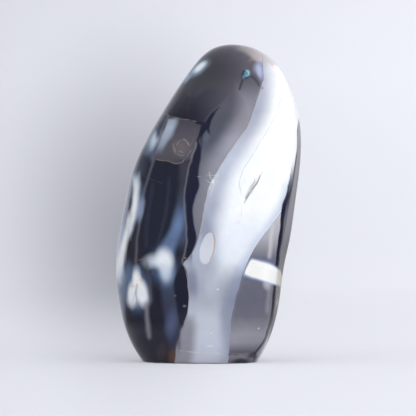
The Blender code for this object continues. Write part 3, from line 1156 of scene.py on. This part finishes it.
@dataclass(frozen=True)
class FootRings:
    """The agate's rings where the flat cut shows them, in millimetres."""

    middle: Triple = (-4.0, 2.0, 0.0)
    spacing: float = 7.0
    wander: float = 14.0
    wander_length: float = 14.0
    dark: str = "#4A4A57"
    light: str = "#8F91A2"
    light_share: Point = (-0.4, 0.9)
    strength: float = 0.6

    def paint(self, pen: Pen, under: Socket, on_foot: Socket) -> Socket:
        """Paints the rings.

        Args:
            pen: The material's pen.
            under: The colour so far.
            on_foot: 1 on the flat cut and 0 above it.

        Returns:
            The colour with the rings on the cut.
        """
        away = pen.add("ShaderNodeVectorMath", {0: pen.place, 1: self.middle}, operation="DISTANCE")
        uneven = pen.add(
            "ShaderNodeTexNoise", {"Vector": pen.place, "Scale": 1 / self.wander_length, "Detail": 2.0}
        )
        bent = pen.add(
            "ShaderNodeMath",
            {0: uneven.outputs[0], 1: self.wander, 2: away.outputs["Value"]},
            operation="MULTIPLY_ADD",
        )
        turns = pen.add(
            "ShaderNodeMath", {0: bent.outputs[0], 1: 2 * math.pi / self.spacing}, operation="MULTIPLY"
        )
        wave = pen.add("ShaderNodeMath", {0: turns.outputs[0]}, operation="SINE")
        light = pen.ramp(wave.outputs[0], *self.light_share)
        ring = pen.blend(light, stone_colour(self.dark), stone_colour(self.light))
        cover = pen.add("ShaderNodeMath", {0: on_foot, 1: self.strength}, operation="MULTIPLY")
        return pen.blend(cover.outputs[0], under, ring)


@dataclass(frozen=True)
class AgateFinish:
    """Polished chalcedony: nearly black smoky glass with its markings, ground but unpolished underneath."""

    body: str = "#262733"
    mottle: str = "#2D2E3A"
    mottle_size: Triple = (3.0, 3.0, 26.0)
    mottle_share: Point = (0.42, 0.72)
    veil: Point = (0.95, 1.01)
    veil_length: float = 5.0
    veil_share: Point = (0.3, 0.6)
    ior: float = 1.54
    roughness: float = 0.045
    foot_roughness: float = 0.38
    foot_height: float = 0.35
    foot_rings: FootRings = field(default_factory=FootRings)
    strain: Strain = field(default_factory=Strain)
    sides: Sides = field(default_factory=Sides)

    def markings(self) -> tuple[Marking, ...]:
        """Gives every marking in the order that they lie over each other."""
        return (
            *BACK,
            *SMOKE,
            *WHITE_SHEET,
            *RIGHT_WINDOW,
            *LEFT_GLASS,
            *INNER_CLOUD,
            *DROP,
            *LEFT_RIM,
            *HAZES,
            *LOW_GLINT_STREAK_AND_STAINS,
            *RING,
            *VEINS,
            *CROWN,
            *WALL,
            *SLAB,
            *CRACKS,
            *SCRATCHES,
            *SPECKS,
            *HOLLOW_FLOORS,
        )

    def make(self, stone: bpy.types.Object) -> bpy.types.Material:
        """Makes the material and keeps what it needs on the stone's mesh.

        Args:
            stone: The finished stone, without its material.

        Returns:
            The material, named for what it is.
        """
        material = empty_material("polished chalcedony")
        corners = read_corners(stone) / MM
        pen = Pen(material, stone.data, Places(corners, self.strain, self.sides))
        colour = self._body(pen)
        for marking in self.markings():
            colour = marking.paint(pen, colour)
        colour = self._veiled(pen, colour)
        on_foot = pen.ramp(pen.along[Axis.UP], self.foot_height, self.foot_height / 2)
        colour = self.foot_rings.paint(pen, colour, on_foot)
        rough = pen.add("ShaderNodeMapRange", {0: on_foot, 3: self.roughness, 4: self.foot_roughness})
        shader = pen.add(
            "ShaderNodeBsdfPrincipled",
            {"Base Color": colour, "Roughness": rough.outputs[0], "IOR": self.ior},
        )
        pen.add("ShaderNodeOutputMaterial", {"Surface": shader.outputs[0]})
        return material

    def _body(self, pen: Pen) -> Socket:
        """Paints the smoky body, with faint upright streaks."""
        place = pen.add("ShaderNodeVectorMath", {0: pen.place, 1: self.mottle_size}, operation="DIVIDE")
        streaks = pen.add("ShaderNodeTexNoise", {"Vector": place.outputs[0], "Scale": 1.0, "Detail": 2.0})
        share = pen.ramp(streaks.outputs[0], *self.mottle_share)
        return pen.blend(share, stone_colour(self.body), stone_colour(self.mottle))

    def _veiled(self, pen: Pen, colour: Socket) -> Socket:
        """Makes the banding a little uneven, as milky chalcedony is."""
        cloudy = pen.add(
            "ShaderNodeTexNoise", {"Vector": pen.place, "Scale": 1 / self.veil_length, "Detail": 4.0}
        )
        low, high = self.veil_share
        share = pen.add(
            "ShaderNodeMapRange", {0: cloudy.outputs[0], 1: low, 2: high, 3: self.veil[0], 4: self.veil[1]}
        )
        scaled = pen.add("ShaderNodeVectorMath", {0: colour, "Scale": share.outputs[0]}, operation="SCALE")
        return scaled.outputs[0]


class ClosedCurve:
    """Radius by angle round the stone's centre: a closed cubic curve with no jump in its bend."""

    def __init__(self, points: Curve, centre_z: float) -> None:
        """Fits the curve through points.

        Args:
            points: The points as (x, z).
            centre_z: The height of the centre, which is at x = 0.
        """
        away = np.array(points) - [0.0, centre_z]
        angles = np.arctan2(away[:, 1], away[:, 0])
        order = np.argsort(angles)
        self.angles = angles[order]
        self.radii = np.hypot(away[:, 0], away[:, 1])[order]
        self.steps = np.diff(self.angles, append=self.angles[0] + 2 * math.pi)
        self.slopes = self._smooth_slopes()

    def _smooth_slopes(self) -> np.ndarray:
        """Finds the slope at each point that lets the bend run on through it."""
        count = len(self.angles)
        rise = (np.roll(self.radii, -1) - self.radii) / self.steps
        weights = np.zeros((count, count))
        wanted = np.zeros(count)
        for i in range(count):
            before = 1 / self.steps[i - 1]
            after = 1 / self.steps[i]
            weights[i, i - 1] = before
            weights[i, i] = 2 * (before + after)
            weights[i, (i + 1) % count] = after
            wanted[i] = 3 * (rise[i - 1] * before + rise[i] * after)
        return np.linalg.solve(weights, wanted)

    def radius(self, angle: np.ndarray) -> np.ndarray:
        """Reads the curve's radius at each angle."""
        i = (np.searchsorted(self.angles, angle, side="right") - 1) % len(self.angles)
        j = (i + 1) % len(self.angles)
        step = self.steps[i]
        t = ((angle - self.angles[i]) % (2 * math.pi)) / step
        start = (1 + 2 * t) * (1 - t) ** 2 * self.radii[i] + t * (1 - t) ** 2 * step * self.slopes[i]
        end = t**2 * (3 - 2 * t) * self.radii[j] + t**2 * (t - 1) * step * self.slopes[j]
        return start + end


def soft_join(first: np.ndarray, second: np.ndarray, width: float | np.ndarray) -> np.ndarray:
    """Takes the larger of two distances, with a rounded edge of this width where the two surfaces meet."""
    near = np.maximum(width - np.abs(first - second), 0) / width
    return np.maximum(first, second) + near * near * width / 4


@dataclass(frozen=True)
class Facet:
    """A soft facet: the way it faces, a point on it and the width of its edge."""

    azimuth: float
    elevation: float
    point: Triple
    width: float

    def distance(self, points: np.ndarray) -> np.ndarray:
        """Gives each point's distance in front of the facet."""
        a = math.radians(self.azimuth)
        e = math.radians(self.elevation)
        facing = np.array([math.sin(a) * math.cos(e), -math.cos(a) * math.cos(e), math.sin(e)])
        return (points - self.point) @ facing


@dataclass(frozen=True)
class GroundForm:
    """The ground form in millimetres, with the same measures as the CAD node's source."""

    centre_z: float = 60.0
    farthest: float = 95.0
    halvings: int = 30
    outline: Curve = (
        (9.6, 120.4), (22.8, 115.8), (30.4, 105.4), (34.4, 93), (35.2, 80), (33.2, 61.5), (30.5, 44.5),
        (27.9, 30.5), (24.9, 13.5), (19.2, 0.6), (8, -10), (-6.5, -13.5), (-20.4, -5), (-29.6, 8.5),
        (-33.8, 22.5), (-35.1, 35.5), (-33, 52.5), (-28.1, 73.2), (-18.8, 92), (-7.6, 109),
        (0.2, 117.6),
    )
    edge_radius: float = 25.0
    edge_draw_in: float = 17.0
    widest_y: float = 1.0
    most_roll: float = 0.999
    wall_front: Point = (-1.0, 0.17)
    wall_back: Point = (3.0, 0.25)
    right_starts: float = 0.2
    right_full: float = 0.85
    back_middle: Point = (-2.0, 50.0)
    back_radii: Point = (55.0, 225.0)
    roll_left: float = 9.0
    roll_right_front: float = 2.0
    roll_right_back: float = 6.0
    facets: tuple[Facet, ...] = (
        Facet(-30.0, 4.0, (-8.5, -22.4, 52.0), 4.0),
        Facet(-58.0, 3.0, (-27.6, -11.6, 50.0), 4.0),
        Facet(4.0, 37.0, (8.0, -21.0, 105.0), 10.0),
        Facet(2.0, -20.0, (0.0, -19.6, 3.4), 1.2),
        Facet(-146.0, 2.0, (-14.0, 21.5, 55.0), 6.0),
        Facet(148.0, 6.0, (15.0, 20.0, 60.0), 7.0),
        Facet(180.0, 39.0, (8.0, 20.0, 108.0), 10.0),
    )
    wave_height: float = 0.16
    wave_lengths: Triple = (34.0, 29.0, 41.0)
    wave_starts: Triple = (0.9, 2.3, 4.1)

    def distance(self, points: np.ndarray) -> np.ndarray:
        """Gives each point's distance from the ground surface, below zero inside the stone."""
        x, y, z = points.T
        up = z - self.centre_z
        angle = np.arctan2(up, x)
        right = ease(np.cos(angle), self.right_starts, self.right_full)
        roll = np.clip((y - self.widest_y) / self.edge_radius, -self.most_roll, self.most_roll)
        half_round = self.edge_draw_in * (1 - np.sqrt(1 - roll**2))
        wall = self.wall_front[1] * np.maximum(self.wall_front[0] - y, 0)
        wall = wall + self.wall_back[1] * np.maximum(y - self.wall_back[0], 0)
        curve = ClosedCurve(self.outline, self.centre_z)
        rim = np.hypot(x, up) - curve.radius(angle) + (1 - right) * half_round + right * wall
        front = dome_fall(x, z, FRONT_MIDDLE, FRONT_RADII) - y - FACE_FROM_MIDDLE
        back = dome_fall(x, z, self.back_middle, self.back_radii) + y - FACE_FROM_MIDDLE
        stone = soft_join(rim, front, self.roll_left + (self.roll_right_front - self.roll_left) * right)
        stone = soft_join(stone, back, self.roll_left + (self.roll_right_back - self.roll_left) * right)
        for facet in self.facets:
            stone = soft_join(stone, facet.distance(points), facet.width)
        waves = np.sin(2 * math.pi * points / self.wave_lengths + self.wave_starts)
        return stone + self.wave_height * waves.prod(axis=1)

    def surface(self, inside: np.ndarray, outside: np.ndarray) -> np.ndarray:
        """Finds the surface between a point inside and a point outside, for each pair."""
        for _ in range(self.halvings):
            middle = (inside + outside) / 2
            within = (self.distance(middle) < 0)[:, None]
            inside = np.where(within, middle, inside)
            outside = np.where(within, outside, middle)
        return (inside + outside) / 2

    def outward(self, point: np.ndarray, step: float = 0.5) -> np.ndarray:
        """Gives the unit vector that points straight out of the stone at a point of its surface."""
        shifts = np.vstack([np.eye(3), -np.eye(3)]) * step
        values = self.distance(point + shifts)
        slope = values[:3] - values[3:]
        return slope / np.linalg.norm(slope)


@dataclass(frozen=True)
class Hollow:
    """An oval hollow: the line that it is met along, its sizes and its lean, in millimetres and degrees."""

    inside: Triple
    outside: Triple
    length: float
    width: float
    depth: float
    lean: float = 0.0


@dataclass
class AgateStone:
    """The stone: ground from a cube, cut flat, hollowed and dressed."""

    form: GroundForm = field(default_factory=GroundForm)
    finish: AgateFinish = field(default_factory=AgateFinish)
    rough_size: Triple = (70.0, 46.0, 120.0)
    squares_per_edge: int = 120
    # The chamfer round the foot, as (height, how far it is drawn in) for each step down from its top
    foot_chamfer: Curve = ((0.6, 0.0), (0.2, 0.2), (0.0, 0.55))
    foot_half: Point = (22.0, 15.0)
    smooth_up_to: float = 35.0
    hollow_sides: int = 48
    hollow_rings: int = 24
    hollows: tuple[Hollow, ...] = (
        Hollow((16.0, 0.0, 65.1), (16.0, -46.0, 65.1), 13.0, 1.9, 0.9, 30.0),
        Hollow((-0.2, 0.0, 43.6), (-0.2, -46.0, 43.6), 13.1, 6.0, 0.4, 12.0),
        Hollow((13.9, 0.0, 108.6), (13.9, -46.0, 108.6), 3.0, 2.2, 1.0, 50.0),
        Hollow((0.0, -9.0, 60.0), (55.4, -9.0, -17.1), 6.8, 2.6, 0.8),
    )

    def build(self) -> bpy.types.Object:
        """Builds and dresses the stone.

        Returns:
            The finished stone, at the origin.
        """
        stone = self._rough_block()
        self._grind(stone)
        self._cut_foot(stone)
        fit = self._fit(stone)
        for hollow in self.hollows:
            self._sink(stone, hollow, fit)
        bpy.ops.object.shade_smooth_by_angle(angle=math.radians(self.smooth_up_to))
        stone.data.materials.append(self.finish.make(stone))
        return stone

    def _rough_block(self) -> bpy.types.Object:
        """Adds the rough block, a cube of even squares."""
        bpy.ops.object.select_all(action="DESELECT")
        bpy.ops.mesh.primitive_cube_add(size=2.0)
        stone = bpy.context.object
        stone.name = stone.data.name = "agate_stone"
        bpy.ops.object.mode_set(mode="EDIT")
        bpy.ops.mesh.select_all(action="SELECT")
        bpy.ops.mesh.subdivide(number_cuts=self.squares_per_edge - 1)
        bpy.ops.object.mode_set(mode="OBJECT")
        return stone

    def _grind(self, stone: bpy.types.Object) -> None:
        """Moves the block's corners onto the ground surface."""
        cube = read_corners(stone)
        ways = np.tan(cube * math.pi / 4)
        ways = ways / np.linalg.norm(ways, axis=1)[:, None] * self.rough_size
        ways = ways / np.linalg.norm(ways, axis=1)[:, None]
        start = np.tile([0.0, 0.0, self.form.centre_z], (len(ways), 1))
        places = self.form.surface(start, start + ways * self.form.farthest)
        self._move(stone, places * MM)

    @staticmethod
    def _move(stone: bpy.types.Object, places: np.ndarray) -> None:
        """Moves the mesh's corners to places in metres."""
        stone.data.vertices.foreach_set("co", places.astype(np.float32).ravel())
        stone.data.update()

    def _cut_foot(self, stone: bpy.types.Object) -> None:
        """Cuts the stone off flat above the floor and draws the cut down to it in the steps of a chamfer."""
        top = self.foot_chamfer[0][0] * MM
        bpy.ops.object.mode_set(mode="EDIT")
        bpy.ops.mesh.select_all(action="SELECT")
        bpy.ops.mesh.bisect(
            plane_co=(0.0, 0.0, top), plane_no=(0.0, 0.0, -1.0), use_fill=True, clear_outer=True
        )
        for (above, _), (height, drawn_in) in zip(self.foot_chamfer, self.foot_chamfer[1:]):
            down = {"value": (0.0, 0.0, (height - above) * MM)}
            bpy.ops.mesh.extrude_region_move(TRANSFORM_OT_translate=down)
            shrink = (1 - drawn_in / self.foot_half[0], 1 - drawn_in / self.foot_half[1], 1.0)
            bpy.ops.transform.resize(value=shrink, center_override=(0.0, 0.0, height * MM))
        bpy.ops.object.mode_set(mode="OBJECT")

    def _fit(self, stone: bpy.types.Object) -> Matrix:
        """Fits the stone to the CAD node's box.

        Returns:
            The matrix from the ground form to the fitted stone.
        """
        low, high = (np.array(corner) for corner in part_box(NODE))
        places = read_corners(stone)
        stretch = (high - low) / np.ptp(places, axis=0)
        shift = low - places.min(axis=0) * stretch
        self._move(stone, places * stretch + shift)
        return Matrix.Translation(shift) @ Matrix.Diagonal((*stretch, 1.0))

    def _sink(self, stone: bpy.types.Object, hollow: Hollow, fit: Matrix) -> None:
        """Cuts one oval hollow into the stone."""
        point = self.form.surface(np.array([hollow.inside]), np.array([hollow.outside]))[0]
        out = Vector(self.form.outward(point))
        up = Matrix.Rotation(math.radians(hollow.lean), 3, -out) @ Vector((0, 0, 1))
        up = (up - out * up.dot(out)).normalized()
        turned = Matrix((up.cross(out), out, up)).transposed()
        bpy.ops.object.select_all(action="DESELECT")
        bpy.ops.mesh.primitive_uv_sphere_add(
            segments=self.hollow_sides,
            ring_count=self.hollow_rings,
            radius=1.0,
            location=fit @ Vector(point * MM),
            rotation=turned.to_euler(),
            scale=(hollow.width / 2 * MM, hollow.depth * MM, hollow.length / 2 * MM),
        )
        cutter = bpy.context.object
        bpy.context.view_layer.objects.active = stone
        cut = stone.modifiers.new("hollow", "BOOLEAN")
        cut.operation = "DIFFERENCE"
        cut.solver = "EXACT"
        cut.object = cutter
        bpy.ops.object.modifier_apply(modifier=cut.name)
        bpy.data.objects.remove(cutter)
        stone.select_set(True)


@dataclass(frozen=True)
class DimSide:
    """The dim side of the studio, which the polish reflects.

    Each pair is where its fade starts and where it is full: angles in radians from the camera's side, plus to
    the right, or heights and distances from the stone in metres.
    """

    strength: float = 0.25
    radius: float = 1.45
    height: float = 1.3
    lift: float = 0.001
    right: Point = (2.6, 1.8)
    left: Point = (-2.35, -1.9)
    top: Point = (1.25, 0.5)
    inner: Point = (0.04, 0.12)
    floor_outer: Point = (1.4, 0.6)
    floor_right: Point = (3.1, 2.85)

    def material(self) -> bpy.types.Material:
        """Makes the dim card's material, which is clear where the card has faded out."""
        material = empty_material("dim card")
        nodes = NodeTree(material.node_tree)
        place = nodes.add("ShaderNodeTexCoord").outputs["Object"]
        parts = nodes.add("ShaderNodeSeparateXYZ", {0: place})
        forward = nodes.add("ShaderNodeMath", {0: parts.outputs["Y"], 1: -1.0}, operation="MULTIPLY")
        turned = {0: parts.outputs["X"], 1: forward.outputs[0]}
        angle = nodes.add("ShaderNodeMath", turned, operation="ARCTAN2").outputs[0]
        flat = nodes.add("ShaderNodeCombineXYZ", {"X": parts.outputs["X"], "Y": parts.outputs["Y"]})
        away = nodes.add("ShaderNodeVectorMath", {0: flat.outputs[0]}, operation="LENGTH").outputs["Value"]
        on_floor = {0: nodes.ramp(away, *self.floor_outer), 1: nodes.ramp(angle, *self.floor_right)}
        floor = nodes.add("ShaderNodeMath", on_floor, operation="MULTIPLY")
        wider = {0: nodes.ramp(angle, *self.right), 1: floor.outputs[0]}
        cover = nodes.add("ShaderNodeMath", wider, operation="MAXIMUM").outputs[0]
        for value, ends in ((angle, self.left), (parts.outputs["Z"], self.top), (away, self.inner)):
            both = {0: cover, 1: nodes.ramp(value, *ends)}
            cover = nodes.add("ShaderNodeMath", both, operation="MULTIPLY").outputs[0]
        dark = nodes.add("ShaderNodeEmission", {"Color": plain_colour("#FFFFFF"), "Strength": self.strength})
        clear = nodes.add("ShaderNodeBsdfTransparent")
        mixed = nodes.add("ShaderNodeMixShader", {0: cover, 1: clear.outputs[0], 2: dark.outputs[0]})
        nodes.add("ShaderNodeOutputMaterial", {"Surface": mixed.outputs[0]})
        return material


@dataclass(frozen=True)
class Paper:
    """Matt pale paper with painted light: darker on the left, with a painted soft shadow of the stone there,
    and glowing a little towards the back.
    """

    # Painted light: the paper is painted darker on the left and lighter on the right
    left: str = "#BBBCC2"
    right: str = "#CFD0D5"
    reach: float = 0.35
    # The painted shadow of the stone, behind it on the left, as (sideways for each metre from the fan's foot,
    # back, up)
    shade: str = "#8D8E94"
    shade_fan: float = 1.1
    shade_middle: Triple = (-0.0251, 1.18, 0.03)
    shade_half: Triple = (0.0585, 1.8, 0.25)
    shade_strength: float = 0.98
    # Its glow on the floor and by height, as (place, strength) where it starts and where it is full
    floor_glow: tuple[Point, Point] = ((-0.35, 0.0), (1.2, 0.37))
    wall_glow: tuple[Point, Point] = ((0.0, 0.0), (0.18, 0.21))
    upper_glow: tuple[Point, Point] = ((0.3, 0.0), (1.1, 0.3))

    def material(self) -> bpy.types.Material:
        """Makes the paper's material."""
        material = empty_material("matt paper")
        nodes = NodeTree(material.node_tree)
        place = nodes.add("ShaderNodeTexCoord").outputs["Object"]
        parts = nodes.add("ShaderNodeSeparateXYZ", {0: place})
        # Painted light: darker on the left, lighter on the right
        to_right = nodes.ramp(parts.outputs["X"], -self.reach, self.reach)
        paper = nodes.blend(to_right, plain_colour(self.left), plain_colour(self.right))
        # Painted shadow of the stone, laid on the paper on the left
        colour = nodes.blend(self._shaded(nodes, parts), paper, plain_colour(self.shade))
        glow = 0.0
        for way, (low, high) in (("Y", self.floor_glow), ("Z", self.wall_glow), ("Z", self.upper_glow)):
            ranges = {0: parts.outputs[way], 1: low[0], 2: high[0], 3: low[1], 4: high[1]}
            share = nodes.add("ShaderNodeMapRange", ranges)
            glow = nodes.add("ShaderNodeMath", {0: glow, 1: share.outputs[0]}).outputs[0]
        matt = nodes.add("ShaderNodeBsdfDiffuse", {"Color": colour, "Roughness": 1.0})
        lit = nodes.add("ShaderNodeEmission", {"Color": colour, "Strength": glow})
        both = nodes.add("ShaderNodeAddShader", {0: matt.outputs[0], 1: lit.outputs[0]})
        nodes.add("ShaderNodeOutputMaterial", {"Surface": both.outputs[0]})
        return material

    def _shaded(self, nodes: NodeTree, parts: bpy.types.Node) -> Socket:
        """Gives how dark the painted shadow is at each place.

        Args:
            nodes: The paper's nodes.
            parts: The node that gives the place's parts.

        Returns:
            0 out of the shade, up to the shade's strength.
        """
        from_foot = nodes.add("ShaderNodeMath", {0: parts.outputs["Y"], 1: self.shade_fan})
        spread = {0: parts.outputs["X"], 1: from_foot.outputs[0]}
        sideways = nodes.add("ShaderNodeMath", spread, operation="DIVIDE")
        fan = nodes.add(
            "ShaderNodeCombineXYZ",
            {"X": sideways.outputs[0], "Y": parts.outputs["Y"], "Z": parts.outputs["Z"]},
        )
        oval = nodes.add(
            "ShaderNodeMapping",
            {"Vector": fan.outputs[0], "Location": self.shade_middle, "Scale": self.shade_half},
            vector_type="TEXTURE",
        )
        away = nodes.add("ShaderNodeVectorMath", {0: oval.outputs[0]}, operation="LENGTH")
        return nodes.ramp(away.outputs["Value"], 1.0, 0.0, self.shade_strength)


@dataclass
class Studio:
    """A pale seamless bowl under a soft pale sky, with a dim side towards the camera, and the camera."""

    paper: Paper = field(default_factory=Paper)
    dim_side: DimSide = field(default_factory=DimSide)
    bowl_radius: float = 1.8
    bowl_height: float = 1.5
    bowl_bend: float = 0.7
    bowl_sides: int = 160
    bend_steps: int = 24
    sky: str = "#F8F8F8"
    sky_strength: float = 0.95
    key_power: float = 12.4
    key_place: Triple = (0.55, -1.25, 0.85)
    fill_power: float = 5.0
    fill_place: Triple = (-1.3, -0.7, 0.7)
    lamp_size: float = 0.9
    lamps_face: Triple = (0.0, 0.0, 0.06)
    camera_distance: float = 1.1
    camera_side: float = -0.00017
    camera_height: float = 0.0581
    camera_sees: Point = (0.05, 20.0)
    # How wide the photo's view is at the middle of the stone
    view_width: float = 0.15746
    sensor: float = 36.0

    def build(self) -> None:
        """Builds the bowl, the dim card, the light and the camera."""
        dim = self.dim_side
        self._bowl("studio_bowl", self.bowl_radius, self.bowl_height, 0.0, self.paper.material())
        card = self._bowl("dim_card", dim.radius, dim.height, dim.lift, dim.material())
        card.visible_camera = False
        card.visible_diffuse = False
        card.visible_transmission = False
        card.visible_shadow = False
        self._sky()
        self._lamp("key_light", self.key_place, self.key_power)
        self._lamp("fill_light", self.fill_place, self.fill_power)
        self._camera()

    def _bowl(
        self, name: str, radius: float, height: float, floor: float, material: bpy.types.Material
    ) -> bpy.types.Object:
        """Makes a round floor that bends up into a wall, open at the top.

        Args:
            name: The object's name.
            radius: The wall's radius.
            height: The wall's height.
            floor: The height of the floor.
            material: What it is made of.

        Returns:
            The bowl, which is no part of the stone.
        """
        bpy.ops.object.select_all(action="DESELECT")
        bpy.ops.mesh.primitive_cylinder_add(
            vertices=self.bowl_sides, radius=radius, depth=height, location=(0.0, 0.0, floor + height / 2)
        )
        bowl = bpy.context.object
        bowl.name = name
        bpy.ops.object.transform_apply(location=True)
        self._select_ring(bowl, top=True)
        bpy.ops.mesh.delete(type="ONLY_FACE")
        bpy.ops.object.mode_set(mode="OBJECT")
        self._select_ring(bowl, top=False)
        bpy.ops.mesh.bevel(
            offset=self.bowl_bend, segments=self.bend_steps, affect="EDGES", clamp_overlap=False
        )
        bpy.ops.mesh.select_all(action="SELECT")
        bpy.ops.mesh.flip_normals()
        bpy.ops.object.mode_set(mode="OBJECT")
        bpy.ops.object.shade_smooth()
        bowl.data.materials.append(material)
        return bowl

    @staticmethod
    def _select_ring(bowl: bpy.types.Object, top: bool) -> None:
        """Goes into edit mode with the corners of the top or the bottom ring selected."""
        bpy.ops.object.mode_set(mode="EDIT")
        bpy.ops.mesh.select_mode(type="VERT")
        bpy.ops.mesh.select_all(action="DESELECT")
        bpy.ops.object.mode_set(mode="OBJECT")
        middle = sum(vertex.co.z for vertex in bowl.data.vertices) / len(bowl.data.vertices)
        for vertex in bowl.data.vertices:
            vertex.select = (vertex.co.z > middle) is top
        bpy.ops.object.mode_set(mode="EDIT")

    def _sky(self) -> None:
        """Lights everything from a soft pale sky."""
        world = bpy.data.worlds.new("soft sky")
        world.use_nodes = True
        world.node_tree.nodes.clear()
        nodes = NodeTree(world.node_tree)
        sky = {"Color": plain_colour(self.sky), "Strength": self.sky_strength}
        light = nodes.add("ShaderNodeBackground", sky)
        nodes.add("ShaderNodeOutputWorld", {"Surface": light.outputs[0]})
        bpy.context.scene.world = world

    def _lamp(self, name: str, place: Triple, power: float) -> None:
        """Adds a large soft light that faces the stone and leaves no highlight or shadow of its own.

        Args:
            name: The light's name.
            place: Where it stands, in metres.
            power: Its power in watts.
        """
        bpy.ops.object.light_add(type="AREA", location=place)
        lamp = bpy.context.object
        lamp.name = name
        lamp.rotation_euler = (Vector(self.lamps_face) - lamp.location).to_track_quat("-Z", "Y").to_euler()
        lamp.data.energy = power
        lamp.data.size = self.lamp_size
        lamp.visible_glossy = False
        lamp.data.use_shadow = False

    def _camera(self) -> None:
        """Places the camera where the photo was taken from."""
        bpy.ops.object.camera_add(
            location=(self.camera_side, -self.camera_distance, self.camera_height),
            rotation=(math.pi / 2, 0.0, 0.0),
        )
        camera = bpy.context.object
        camera.name = "photo_camera"
        camera.data.sensor_width = self.sensor
        camera.data.lens = self.sensor * self.camera_distance / self.view_width
        camera.data.clip_start, camera.data.clip_end = self.camera_sees
        bpy.context.scene.camera = camera


def main() -> None:
    """Builds the studio and the stone, and hands the stone over to the frame."""
    logging.basicConfig(level=logging.INFO, format="%(message)s")
    bpy.context.scene.view_settings.view_transform = "Standard"
    Studio().build()
    LOG.info("studio: bowl, dim card, soft sky, two lamps and camera")
    stone = AgateStone().build()
    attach(stone, BODY)
    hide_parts(NODE)
    LOG.info("%s: %d faces", stone.name, len(stone.data.polygons))


if __name__ == "__main__":
    main()
